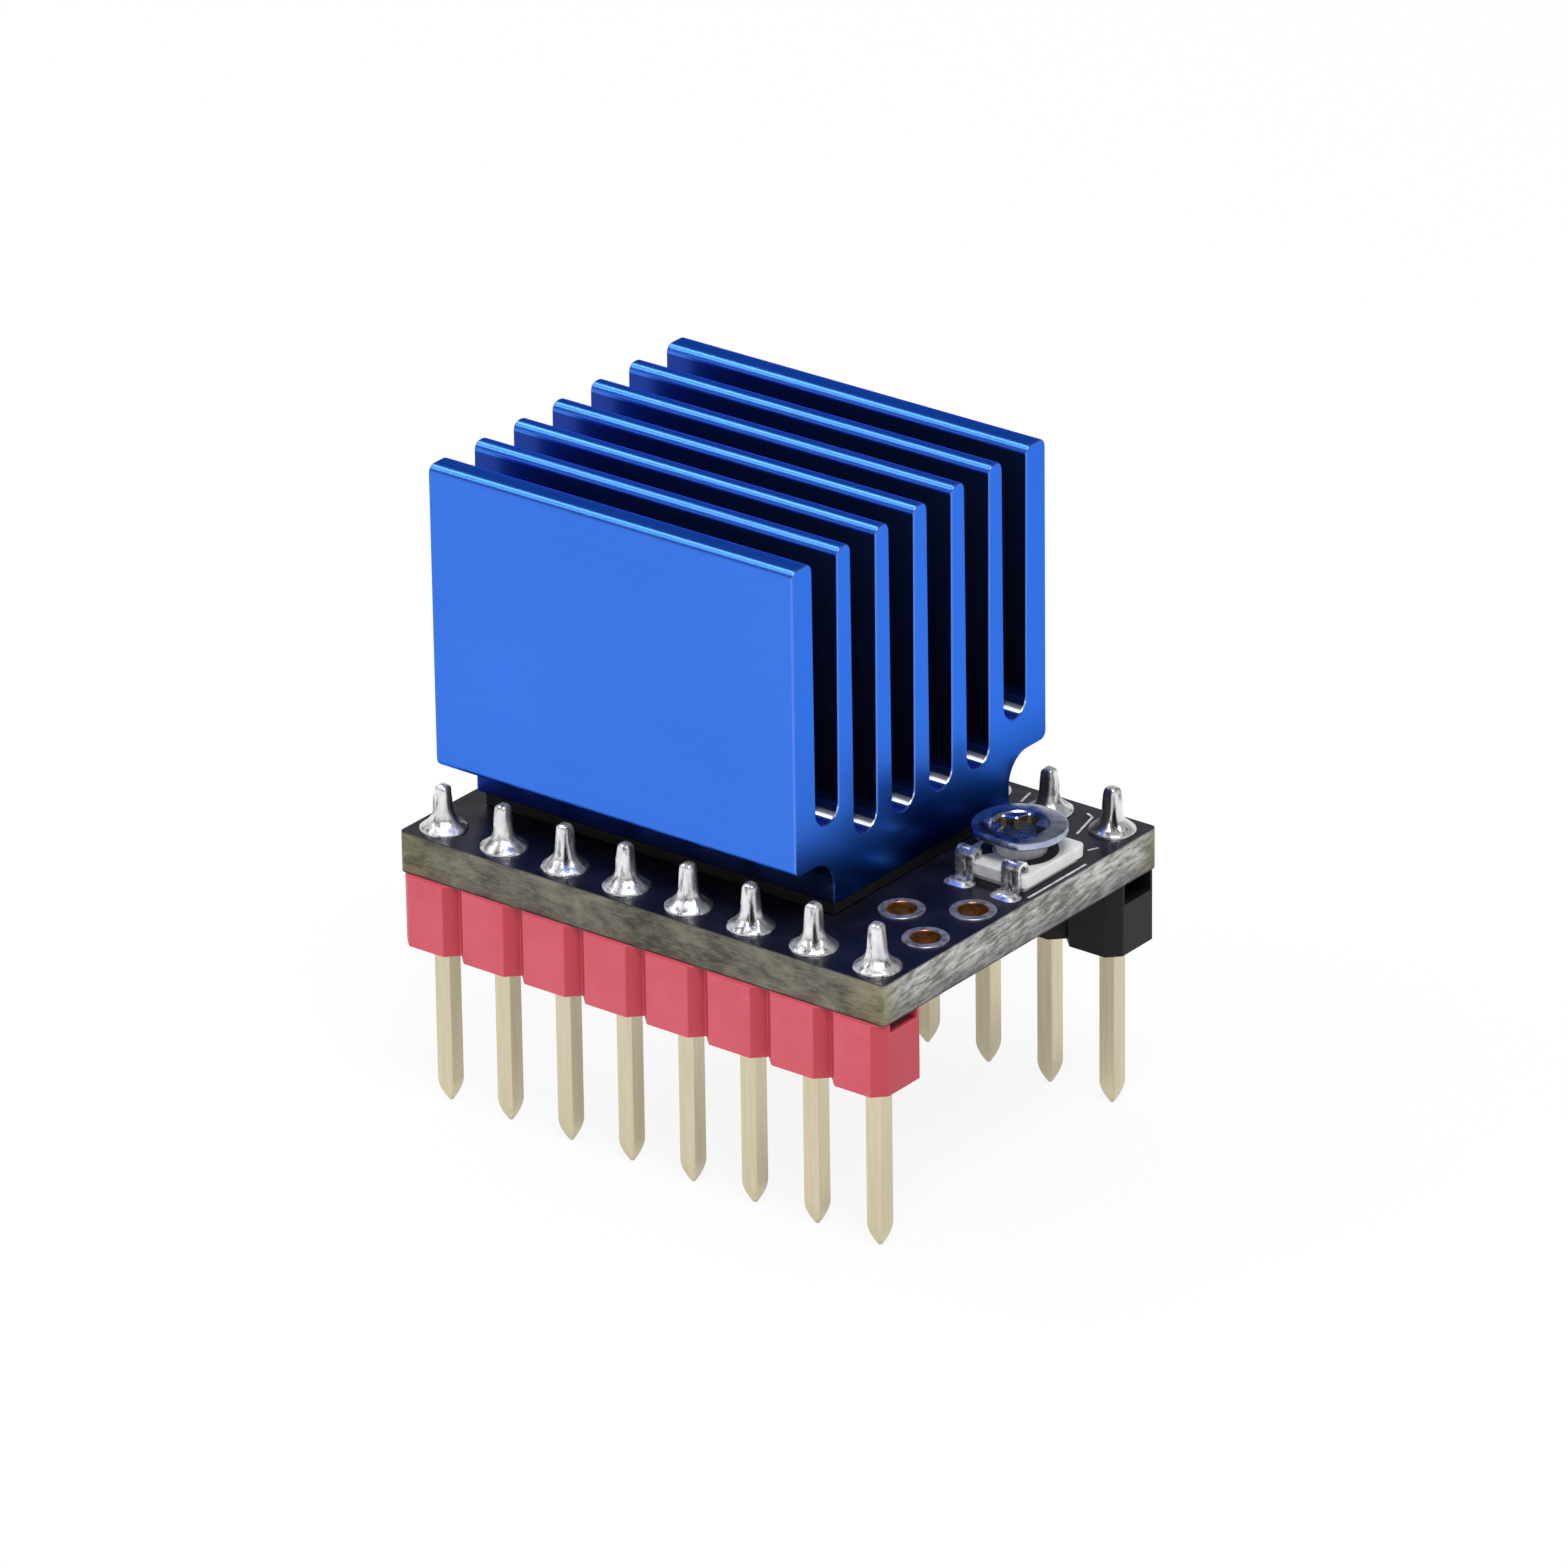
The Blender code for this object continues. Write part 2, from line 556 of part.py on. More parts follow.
def build_terminals():
    # A strip hooked over the edge of the base, down its side and out along the board
    middle = SEAT_GAP + TERMINAL_THICKNESS / 2
    crest = TRIMMER_HEIGHT + TERMINAL_RISE - TERMINAL_THICKNESS / 2
    foot = TERMINAL_THICKNESS / 2
    path = [(middle - 2 * TERMINAL_BEND, TRIMMER_HEIGHT + SEAT_GAP)]
    path += arc((middle - TERMINAL_BEND, crest - TERMINAL_BEND), TERMINAL_BEND, 180, 0, HOOK_STEPS)
    path += [(middle, foot), (TERMINAL_FOOT, foot)]
    bm = bmesh.new()
    edges = []
    for side in (-TERMINAL_WIDTH / 2, TERMINAL_WIDTH / 2):
        edges.append([bm.verts.new((side, TRIMMER_DEPTH / 2 + out, up)) for out, up in path])
    for step in range(len(path) - 1):
        bm.faces.new((edges[0][step], edges[1][step], edges[1][step + 1], edges[0][step + 1]))
    mesh = bpy.data.meshes.new("terminal")
    bm.to_mesh(mesh)
    bm.free()
    tinned = finish("terminal_tin", (0.75, 0.75, 0.75), 0.3, 1.0)
    half = TERMINAL_SPACING / 2
    places = {"wiper_terminal": (0.0, 0), "end_terminal_1": (-half, 180), "end_terminal_2": (half, 180)}
    for name, (offset, turn) in places.items():
        place = (TRIMMER_X + offset, TRIMMER_OFFSET_Y, TRIMMER_BOTTOM)
        terminal = add_part(f"trimmer_{name}", mesh, tinned, place, (0.0, 0.0, math.radians(turn)))
        sheet = terminal.modifiers.new("Sheet", "SOLIDIFY")
        sheet.thickness = TERMINAL_THICKNESS
        sheet.offset = 0.0
        sheet.use_even_offset = True


# Underside

def chip_part_outline(length, height):
    # Side view of a two-ended part whose end caps stand proud
    end = length / 2
    cap = end - END_CAP
    top = height - END_CAP_PROUD
    right = [(cap, END_CAP_PROUD), (cap, 0.0), (end, 0.0), (end, height), (cap, height), (cap, top)]
    return right + [(-x, z) for x, z in reversed(right)]


def add_chip_part(name, length, width, height, material, place, along_y=False):
    mesh = flat_plate(chip_part_outline(length, height), width)
    mesh.transform(Matrix.Translation((0.0, 0.0, -width / 2)))
    turn = math.radians(90) if along_y else 0.0
    bottom = BOARD_BOTTOM - SEAT_GAP - height
    add_part(name, mesh, material, (*place, bottom), (math.radians(90), 0.0, turn))


def build_underside():
    resin = finish("chip_resin", (0.02, 0.02, 0.022), 0.5)
    ceramic = finish("capacitor_ceramic", (0.32, 0.22, 0.14), 0.5)
    glaze = finish("resistor_glaze", (0.025, 0.025, 0.028), 0.35)
    low = BOARD_BOTTOM - SEAT_GAP - CHIP_HEIGHT
    chip = add_part("driver_chip", block((CHIP_SIDE, CHIP_SIDE, CHIP_HEIGHT)), resin, (SINK_X, 0.0, low))
    break_edges(chip, CHIP_EDGE)
    beside = CHIP_SIDE / 2 + PART_GAP
    sense_x = SINK_X + beside + SENSE_WIDTH / 2
    sense_y = (SENSE_LENGTH + PART_GAP) / 2
    sense = (SENSE_LENGTH, SENSE_WIDTH, SENSE_HEIGHT, glaze)
    add_chip_part("sense_resistor_a", *sense, (sense_x, -sense_y), True)
    add_chip_part("sense_resistor_b", *sense, (sense_x, sense_y), True)
    supply_x = SINK_X - beside - SUPPLY_WIDTH / 2
    supply_y = (SUPPLY_LENGTH + PART_GAP) / 2
    supply = (SUPPLY_LENGTH, SUPPLY_WIDTH, SUPPLY_HEIGHT, ceramic)
    add_chip_part("supply_capacitor_a", *supply, (supply_x, -supply_y), True)
    add_chip_part("supply_capacitor_b", *supply, (supply_x, supply_y), True)
    small_y = beside + SMALL_WIDTH / 2
    small = (SMALL_LENGTH, SMALL_WIDTH, SMALL_HEIGHT, ceramic)
    add_chip_part("charge_pump_capacitor", *small, (SINK_X, small_y))
    add_chip_part("regulator_capacitor", *small, (SINK_X, -small_y))
    reference_y = (SMALL_WIDTH + PART_GAP) / 2
    reference = (SMALL_LENGTH, SMALL_WIDTH, REFERENCE_HEIGHT, glaze)
    add_chip_part("reference_resistor_a", *reference, (TRIMMER_X, TRIMMER_OFFSET_Y - reference_y))
    add_chip_part("reference_resistor_b", *reference, (TRIMMER_X, TRIMMER_OFFSET_Y + reference_y))


clear_scene()
parts = new_collection("stepper_driver_module")
cutters = new_collection("cutters")
build_board()
build_housings()
build_pins()
build_solder()
build_plated_holes()
build_heatsink()
build_pad()
build_trimmer_base()
build_rotor()
build_terminals()
build_underside()
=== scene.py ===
import math
import bmesh
import bpy
from mathutils import Matrix, Vector


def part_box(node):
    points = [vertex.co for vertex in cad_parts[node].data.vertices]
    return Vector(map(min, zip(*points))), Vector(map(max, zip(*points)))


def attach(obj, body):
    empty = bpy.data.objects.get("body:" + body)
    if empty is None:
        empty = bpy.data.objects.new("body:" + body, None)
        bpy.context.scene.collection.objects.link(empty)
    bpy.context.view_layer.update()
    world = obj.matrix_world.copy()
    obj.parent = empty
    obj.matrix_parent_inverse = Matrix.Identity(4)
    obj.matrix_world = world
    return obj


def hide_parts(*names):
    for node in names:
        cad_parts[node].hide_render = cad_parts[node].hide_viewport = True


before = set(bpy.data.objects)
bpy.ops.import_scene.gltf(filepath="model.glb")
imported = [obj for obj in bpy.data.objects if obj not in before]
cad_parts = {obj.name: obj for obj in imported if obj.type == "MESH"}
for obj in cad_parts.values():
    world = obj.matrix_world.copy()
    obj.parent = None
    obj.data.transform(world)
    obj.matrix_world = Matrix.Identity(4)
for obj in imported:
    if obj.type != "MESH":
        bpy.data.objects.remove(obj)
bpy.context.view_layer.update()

mm = 0.001  # shapes are drawn in millimetres and scaled once
rows = ("front", "rear")
pinNumbers = range(1, 9)
print("frame loaded:", len(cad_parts), "nodes")


# small helpers for places and shapes

def boxMm(node):
    low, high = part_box(node)
    return low / mm, high / mm


def centreMm(node):
    low, high = boxMm(node)
    return (low + high) / 2


def arcPoints(centre, radius, start, end, steps):
    points = []
    for step in range(steps + 1):
        angle = math.radians(start + (end - start) * step / steps)
        points.append((centre[0] + radius * math.cos(angle), centre[1] + radius * math.sin(angle)))
    return points


def roundedRectangle(width, height, radius, steps=6):
    points = []
    for quarter, (sx, sy) in enumerate(((1, 1), (-1, 1), (-1, -1), (1, -1))):
        corner = (sx * (width / 2 - radius), sy * (height / 2 - radius))
        points += arcPoints(corner, radius, 90 * quarter, 90 * quarter + 90, steps)
    return points


def loft(bm, rings, capped=True, joined=False):
    # rings of equal length become bands of quads, with flat ends or joined end to start
    bands = [[bm.verts.new(point) for point in ring] for ring in rings]
    if joined:
        bands.append(bands[0])
    count = len(bands[0])
    for lower, upper in zip(bands, bands[1:]):
        for i in range(count):
            j = (i + 1) % count
            bm.faces.new((lower[i], lower[j], upper[j], upper[i]))
    if capped:
        bm.faces.new(bands[0][::-1])
        bm.faces.new(bands[-1])


def ringAt(outline, height, centre=(0.0, 0.0)):
    return [(centre[0] + x, centre[1] + y, height) for x, y in outline]


def circlePoints(radius, steps, start=0.0):
    return arcPoints((0.0, 0.0), radius, start, start + 360, steps)[:-1]


def polarMatch(outline, radius):
    # the circle's point in the same direction as each point of an outline
    return [(radius * x / math.hypot(x, y), radius * y / math.hypot(x, y)) for x, y in outline]


def plainBox(bm, centre, size):
    place = Matrix.Translation(centre) @ Matrix.Diagonal((*size, 1.0))
    return bmesh.ops.create_cube(bm, size=1.0, matrix=place)["verts"]


def roundedBox(bm, centre, size, radius, segments=2):
    edges = {edge for vert in plainBox(bm, centre, size) for edge in vert.link_edges}
    bmesh.ops.bevel(bm, geom=list(edges), offset=radius, segments=segments, affect="EDGES", profile=0.5)


def linked(name, data):
    thing = bpy.data.objects.new(name, data)
    bpy.context.scene.collection.objects.link(thing)
    return thing


def drawn(name, bm):
    bmesh.ops.remove_doubles(bm, verts=bm.verts, dist=1e-5)
    bmesh.ops.recalc_face_normals(bm, faces=bm.faces)
    mesh = bpy.data.meshes.new(name)
    bm.to_mesh(mesh)
    bm.free()
    return linked(name, mesh)


def lofted(name, rings, capped=True, joined=False):
    bm = bmesh.new()
    loft(bm, rings, capped, joined)
    return drawn(name, bm)


def bevelled(piece, width, segments=3, angle=40):
    modifier = piece.modifiers.new("edges", "BEVEL")
    modifier.width = width
    modifier.segments = segments
    modifier.limit_method = "ANGLE"
    modifier.angle_limit = math.radians(angle)
    return piece


def plain(piece):
    bpy.context.view_layer.update()
    graph = bpy.context.evaluated_depsgraph_get()
    mesh = bpy.data.meshes.new_from_object(piece.evaluated_get(graph))
    piece.modifiers.clear()
    piece.data = mesh
    return piece


def cutAway(piece, bm, edge=0.0, angle=30):
    # a drawn shape is taken out of the piece, and the edges left are broken
    cutter = drawn("cutter", bm)
    modifier = piece.modifiers.new("cut", "BOOLEAN")
    modifier.operation = "DIFFERENCE"
    modifier.solver = "EXACT"
    modifier.object = cutter
    if edge:
        bevelled(piece, edge, 2, angle)
    plain(piece)
    bpy.data.objects.remove(cutter)


def settled(piece, materials, nodes, smooth=40, weighted=True, body="module"):
    # millimetres become metres, edges get their shading, and the piece joins its body
    plain(piece)
    mesh = piece.data
    mesh.transform(Matrix.Scale(mm, 4))
    mesh.shade_smooth()
    mesh.set_sharp_from_angle(angle=math.radians(smooth))
    if not mesh.materials:
        for material in materials:
            mesh.materials.append(material)
    if weighted:
        normals = piece.modifiers.new("normals", "WEIGHTED_NORMAL")
        normals.keep_sharp = True
    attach(piece, body)
    if nodes:
        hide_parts(*nodes)
    return piece


# helpers for materials and node trees

noiseSpan = (0.3, 0.7)  # nearly all of a noise lies between these


def srgb(red, green, blue):
    def linear(value):
        value /= 255
        return value / 12.92 if value <= 0.04045 else ((value + 0.055) / 1.055) ** 2.4
    return (linear(red), linear(green), linear(blue), 1.0)


def addNode(tree, kind, inputs=None, **settings):
    node = tree.nodes.new(kind)
    for key, value in settings.items():
        setattr(node, key, value)
    for key, value in (inputs or {}).items():
        if isinstance(value, bpy.types.NodeSocket):
            tree.links.new(value, node.inputs[key])
        else:
            node.inputs[key].default_value = value
    return node


def newMaterial(name, roughness, metallic=0.0):
    material = bpy.data.materials.new(name)
    material.use_nodes = True
    tree = material.node_tree
    shader = tree.nodes["Principled BSDF"]
    shader.inputs["Roughness"].default_value = roughness
    shader.inputs["Metallic"].default_value = metallic
    return material, tree, shader


def objectVector(tree, stretch=(1.0, 1.0, 1.0), turn=0.0):
    # object coordinates in millimetres, turned about x and stretched
    coords = addNode(tree, "ShaderNodeTexCoord")
    values = {"Vector": coords.outputs["Object"], "Rotation": (math.radians(turn), 0.0, 0.0),
              "Scale": tuple(mm / value for value in stretch)}
    return addNode(tree, "ShaderNodeMapping", values, vector_type="TEXTURE").outputs["Vector"]


def noiseOf(tree, scale, detail=3.0, stretch=(1.0, 1.0, 1.0), rough=0.55, turn=0.0):
    vector = objectVector(tree, stretch, turn)
    values = {"Vector": vector, "Scale": scale, "Detail": detail, "Roughness": rough}
    return addNode(tree, "ShaderNodeTexNoise", values).outputs["Fac"]


def mapped(tree, value, low, high, toLow=0.0, toHigh=1.0, smooth=True):
    values = {"Value": value, "From Min": low, "From Max": high, "To Min": toLow, "To Max": toHigh}
    kind = "SMOOTHSTEP" if smooth else "LINEAR"
    return addNode(tree, "ShaderNodeMapRange", values, interpolation_type=kind).outputs["Result"]


def mixed(tree, factor, first, second):
    # a colour is a socket, an sRGB triple from 0 to 255 or four linear values
    values = {0: factor}
    for index, colour in ((6, first), (7, second)):
        values[index] = srgb(*colour) if isinstance(colour, tuple) and len(colour) == 3 else colour
    return addNode(tree, "ShaderNodeMix", values, data_type="RGBA").outputs[2]


def maths(tree, operation, first, second=0.0):
    return addNode(tree, "ShaderNodeMath", {0: first, 1: second}, operation=operation).outputs["Value"]


def times(tree, first, second):
    return maths(tree, "MULTIPLY", first, second)


def attributeOf(tree, name):
    return addNode(tree, "ShaderNodeAttribute", attribute_name=name).outputs["Fac"]


def dressed(tree, shader, colour, roughness=None):
    tree.links.new(colour, shader.inputs["Base Color"])
    if roughness is not None:
        tree.links.new(roughness, shader.inputs["Roughness"])


def rayKinds(tree):
    # rays that the eye sees by, and rays that show in a shine
    path = addNode(tree, "ShaderNodeLightPath").outputs
    return maths(tree, "MAXIMUM", path["Is Camera Ray"], path["Is Transmission Ray"]), path["Is Glossy Ray"]


def bumped(tree, shader, height, depth):
    # depth in millimetres
    values = {"Height": height, "Strength": 1.0, "Distance": depth * mm}
    bump = addNode(tree, "ShaderNodeBump", values)
    tree.links.new(bump.outputs["Normal"], shader.inputs["Normal"])


def speckled(name, deep, light, roughness, scale, detail=4.0, depth=0.008, span=noiseSpan):
    material, tree, shader = newMaterial(name, roughness)
    grain = noiseOf(tree, scale, detail)
    dressed(tree, shader, mixed(tree, mapped(tree, grain, *span) if span else grain, deep, light))
    bumped(tree, shader, grain, depth)
    return material


def normalParts(tree):
    geometry = addNode(tree, "ShaderNodeNewGeometry")
    parts = addNode(tree, "ShaderNodeSeparateXYZ", {"Vector": geometry.outputs["True Normal"]})
    return [maths(tree, "ABSOLUTE", parts.outputs[axis]) for axis in "XYZ"]


def positionParts(tree):
    parts = addNode(tree, "ShaderNodeSeparateXYZ", {"Vector": objectVector(tree)})
    return [parts.outputs[axis] for axis in "XYZ"]


def geometryTree(name, inputs):
    tree = bpy.data.node_groups.new(name, "GeometryNodeTree")
    tree.interface.new_socket("Geometry", in_out="INPUT", socket_type="NodeSocketGeometry")
    for label, kind in inputs:
        tree.interface.new_socket(label, in_out="INPUT", socket_type=kind)
    tree.interface.new_socket("Geometry", in_out="OUTPUT", socket_type="NodeSocketGeometry")
    source = tree.nodes.new("NodeGroupInput")
    sink = tree.nodes.new("NodeGroupOutput")
    return tree, source, sink


def useTree(piece, tree, values):
    modifier = piece.modifiers.new(tree.name, "NODES")
    modifier.node_group = tree
    for item in tree.interface.items_tree:
        if item.in_out == "INPUT" and item.name in values:
            modifier[item.identifier] = values[item.name]
    return plain(piece)


# camera at the photo's angle, found from the pin joints, board corners and heatsink edges

cameraLook = {
    "azimuth": 37.855, "elevation": 24.854, "roll": -0.799,
    "distance": 362.96, "aside": 0.204, "above": 1.455, "lens": 255.0, "sensor": 36.0,
}


def buildCamera(look):
    target = Vector((0.0, 0.0, boxMm("circuit_board")[1].z))
    turn, tilt, roll = (math.radians(look[key]) for key in ("azimuth", "elevation", "roll"))
    back = Vector((math.sin(turn) * math.cos(tilt), -math.cos(turn) * math.cos(tilt), math.sin(tilt)))
    right = Vector((math.cos(turn), math.sin(turn), 0.0))
    up = back.cross(right)
    rolledRight = math.cos(roll) * right + math.sin(roll) * up
    rolledUp = math.cos(roll) * up - math.sin(roll) * right
    place = target + look["distance"] * back + look["aside"] * rolledRight + look["above"] * rolledUp
    data = bpy.data.cameras.new("camera")
    data.lens = look["lens"]
    data.sensor_width = look["sensor"]
    data.clip_start = 10 * mm
    camera = linked("camera", data)
    axes = Matrix((rolledRight, rolledUp, back)).transposed().to_4x4()
    camera.matrix_world = Matrix.Translation(place * mm) @ axes
    bpy.context.scene.camera = camera
    print("camera set")


# light and floor

lightLook = {
    "fill": 0.45, "ceiling": 0.24, "horizon": (0.1, 0.4),
    "key": {"place": (-330, -260, 430), "size": 150, "power": 0.36},
    "top": {"place": (-300, 10, 450), "size": 150, "power": 0.5},
    "side": {"place": (170, -150, 480), "size": 200, "power": 1.5},
}
floorLook = {"size": 3000, "colour": (250, 250, 250), "whiteShare": 0.9, "shineShare": 0.5}


def buildLight(look):
    world = bpy.data.worlds.new("studio")
    bpy.context.scene.world = world
    world.use_nodes = True
    tree = world.node_tree
    background = tree.nodes["Background"]
    seen, shiny = rayKinds(tree)
    geometry = addNode(tree, "ShaderNodeNewGeometry")
    away = addNode(tree, "ShaderNodeSeparateXYZ", {"Vector": geometry.outputs["Position"]}).outputs["Z"]
    # white all round for the eye, with a darker ceiling in reflections
    dome = mapped(tree, away, *look["horizon"], 1.0, look["ceiling"])
    strength = mapped(tree, shiny, 0.0, 1.0, look["fill"], dome, smooth=False)
    strength = mapped(tree, seen, 0.0, 1.0, strength, 1.0, smooth=False)
    tree.links.new(strength, background.inputs["Strength"])
    background.inputs["Color"].default_value = (1.0, 1.0, 1.0, 1.0)
    target = centreMm("heatsink")
    for name in ("key", "top", "side"):
        lamp = look[name]
        data = bpy.data.lights.new(name, "AREA")
        data.size = lamp["size"] * mm
        data.energy = lamp["power"]
        light = linked(name, data)
        place = Vector(lamp["place"])
        light.location = place * mm
        light.rotation_euler = (target - place).to_track_quat("-Z", "Y").to_euler()
    bpy.context.scene.view_settings.view_transform = "Standard"
    print("lights set")


def buildFloor(look):
    bm = bmesh.new()
    bmesh.ops.create_grid(bm, x_segments=1, y_segments=1, size=look["size"] / 2 * mm)
    mesh = bpy.data.meshes.new("floor")
    bm.to_mesh(mesh)
    bm.free()
    floor = linked("floor", mesh)
    material, tree, shader = newMaterial("floor_paper", 0.9)
    shader.inputs["Base Color"].default_value = srgb(*look["colour"])
    shader.inputs["Specular IOR Level"].default_value = 0.0
    glow = addNode(tree, "ShaderNodeEmission", {"Color": (1.0, 1.0, 1.0, 1.0), "Strength": 1.0})
    seen, shiny = rayKinds(tree)
    share = maths(tree, "MAXIMUM", times(tree, seen, look["whiteShare"]),
                  times(tree, shiny, look["shineShare"]))
    mix = addNode(tree, "ShaderNodeMixShader", {0: share, 1: shader.outputs[0], 2: glow.outputs[0]})
    tree.links.new(mix.outputs[0], tree.nodes["Material Output"].inputs["Surface"])
    mesh.materials.append(material)
    print("floor laid")


# heatsink: one extruded bar, sawn to length and anodised

heatsinkLook = {
    "fins": 7, "fin": 0.72, "outerFin": 1.05, "slotTaper": 0.06,
    "floor": 1.95, "outerFloorStep": 1.03, "wing": 1.65, "wingRadius": 0.3,
    "cove": 1.0, "tip": 0.3, "footInset": 0.2, "deburr": 0.07,
    "colour": (62, 121, 231), "cloudShade": 0.94, "edge": (90, 134, 236), "grazing": (96, 136, 240),
    "slotShadeFar": (17, 25, 116), "slotShadeNear": (33, 34, 54), "slotMetallic": 0.85,
    "glint": (244, 247, 255), "glintReach": 1.0, "glintFull": 0.6, "glintSide": (-0.8, -0.45),
    "neckShade": 0.9, "floorShade": 0.45, "floorReach": 0.5, "mouthShade": 0.7, "slotFall": 3,
    "footShadeColour": (13, 32, 88), "footReach": 3.8, "footShade": 0.75,
    "coat": 0.08, "coatRoughness": 0.15, "drawnRoughness": (0.27, 0.34), "sawnRoughness": 0.28,
}


def heatsinkOutline(look, width, height, neck):
    half = width / 2
    inner = look["fins"] - 2
    slot = (width - inner * look["fin"] - 2 * look["outerFin"]) / (look["fins"] - 1)
    cove = min(look["cove"], half - neck - look["wingRadius"])
    tip = look["tip"]
    side = [(neck, 0.0)]
    side += arcPoints((neck + cove, look["wing"] - cove), cove, 180, 90, 12)
    corner = look["wingRadius"]
    side += arcPoints((half - corner, look["wing"] + corner), corner, -90, 0, 8)
    fins = []
    right = half
    for fin in range(look["fins"]):
        left = right - (look["outerFin"] if fin in (0, look["fins"] - 1) else look["fin"])
        fins += arcPoints((right - tip, height - tip), tip, 0, 90, 6)
        fins += arcPoints((left + tip, height - tip), tip, 90, 180, 6)
        right = left - slot
        if fin < look["fins"] - 1:
            floor = look["floor"] + (look["outerFloorStep"] if fin in (0, look["fins"] - 2) else 0.0)
            radius = slot / 2 - look["slotTaper"]
            fins += arcPoints((left - slot / 2, floor + radius), radius, 0, -180, 20)
    return side + fins + [(-y, z) for y, z in reversed(side)]


def anodisedBlue(look, left, right, foot):
    material, tree, shader = newMaterial("anodised_blue", 0.24, 1.0)
    shader.inputs["Coat Weight"].default_value = look["coat"]
    shader.inputs["Coat Roughness"].default_value = look["coatRoughness"]
    shader.inputs["Specular Tint"].default_value = srgb(*look["grazing"])
    drawLines = noiseOf(tree, 1.6, 4.0, (0.03, 11.0, 11.0))  # die lines run along the bar
    cloud = noiseOf(tree, 0.12, 2.0)
    bright = srgb(*look["colour"])
    deep = tuple(value * look["cloudShade"] for value in bright[:3]) + (1.0,)
    skin = mixed(tree, mapped(tree, cloud, *noiseSpan), deep, bright)
    across = normalParts(tree)[0]
    onEnd = mapped(tree, across, 0.7, 0.9)
    # painted highlight: the broken edges of the ends are painted lighter; painted shade: the slots and the
    # ends near the foot are painted darker
    # painted highlight: a lighter colour on the broken edges of the ends
    paintedEdgeHighlight = times(tree, mapped(tree, across, 0.12, 0.3), mapped(tree, across, 0.98, 0.93))
    skin = mixed(tree, paintedEdgeHighlight, skin, look["edge"])
    x, _, z = positionParts(tree)
    # painted shade: the end faces darken towards the foot
    paintedFootShade = times(tree, onEnd, mapped(tree, z, foot + look["footReach"], foot))
    skin = mixed(tree, times(tree, paintedFootShade, look["footShade"]), skin, look["footShadeColour"])
    slotShade = attributeOf(tree, "slotShade")
    # painted shade: the slot walls are painted dark, in a colour that changes from the far end to the near
    # end
    slot = mixed(tree, mapped(tree, x, left, right), look["slotShadeFar"], look["slotShadeNear"])
    # painted highlight: a glint is painted along one side of the slot floors where they run out
    out = mapped(tree, x, right - look["glintReach"], right - look["glintFull"])
    paintedGlint = times(tree, attributeOf(tree, "glintFloor"), out)
    skin = mixed(tree, paintedGlint, mixed(tree, slotShade, skin, slot), look["glint"])
    tree.links.new(mapped(tree, slotShade, 0.0, 1.0, 1.0, look["slotMetallic"]), shader.inputs["Metallic"])
    drawnShine = mapped(tree, drawLines, *noiseSpan, *look["drawnRoughness"])
    shine = addNode(tree, "ShaderNodeMix", {0: onEnd, 2: drawnShine, 3: look["sawnRoughness"]})
    dressed(tree, shader, skin, shine.outputs[0])
    sawMarks = noiseOf(tree, 2.0, 3.0, (1.0, 14.0, 2.0))
    relief = addNode(tree, "ShaderNodeMix", {0: across, 2: drawLines, 3: sawMarks}).outputs[0]
    bumped(tree, shader, relief, 0.0015)
    return material


def buildHeatsink(look):
    low, high = boxMm("heatsink")
    padLow, padHigh = boxMm("thermal_pad")
    neck = (padHigh.y - padLow.y) / 2 + look["footInset"]
    outline = heatsinkOutline(look, high.y - low.y, high.z - low.z, neck)
    middle = (low.y + high.y) / 2
    rings = [[(x, middle + y, low.z + z) for y, z in outline] for x in (low.x, high.x)]
    piece = bevelled(lofted("heatsink_bar", rings), look["deburr"], 3, 50)
    settled(piece, [anodisedBlue(look, low.x, high.x, low.z)], ["heatsink"], 30)
    markShade(piece.data, low.z, high, middle, (high.y - low.y) / 2 - look["outerFin"], look)
    print("heatsink built")


def markShade(mesh, foot, high, middle, reach, look):
    # painted shade: how far each corner lies in a slot or under a wing, for the darker colour painted there,
    # and, for a painted highlight, which faces are the side of a slot floor that gets a glint
    marks = mesh.attributes.new("slotShade", "FLOAT", "CORNER")
    glintFloors = mesh.attributes.new("glintFloor", "FLOAT", "FACE")
    floor = foot + look["floor"]
    slack = 0.01
    glintLow, glintHigh = look["glintSide"]
    for face in mesh.polygons:
        centre, normal = face.center / mm, face.normal
        wall = abs(centre.y - middle) < reach + slack and abs(normal.y) > 0.9
        wall = wall and floor - 5 * slack < centre.z < high.z - 1.01 * look["tip"]
        under = centre.z < foot + look["wing"] + slack and abs(normal.x) < 0.1
        deep = centre.z < floor + look["outerFloorStep"] + look["floorReach"] and normal.z > 0.2
        # painted highlight: the faces that get the painted glint
        glintFloors.data[face.index].value = 1.0 if deep and glintLow < normal.y < glintHigh else 0.0
        for corner in face.loop_indices:
            height = mesh.vertices[mesh.loops[corner].vertex_index].co.z / mm
            depth = (high.z - height) / (high.z - floor)
            shade = min(1.0, look["mouthShade"] + look["slotFall"] * depth) if wall else 0.0
            # painted shade under the wings and on the slot floors
            if under:
                shade = look["neckShade"]
            elif deep:
                shade = look["floorShade"]
            marks.data[corner].value = shade


# tape between heatsink and board

tapeLook = {"edge": 0.06, "colour": (9, 9, 11), "light": (17, 17, 20)}


def buildTape(look):
    low, high = boxMm("thermal_pad")
    bm = bmesh.new()
    roundedBox(bm, (low + high) / 2, high - low, look["edge"], 3)
    piece = drawn("thermal_tape", bm)
    material = speckled("tape_grey", look["colour"], look["light"], 0.75, 6.0, depth=0.02, span=None)
    settled(piece, [material], ["thermal_pad"])
    print("tape laid")


# circuit board: the solid keeps its shape and gets resist and bare fibre edges

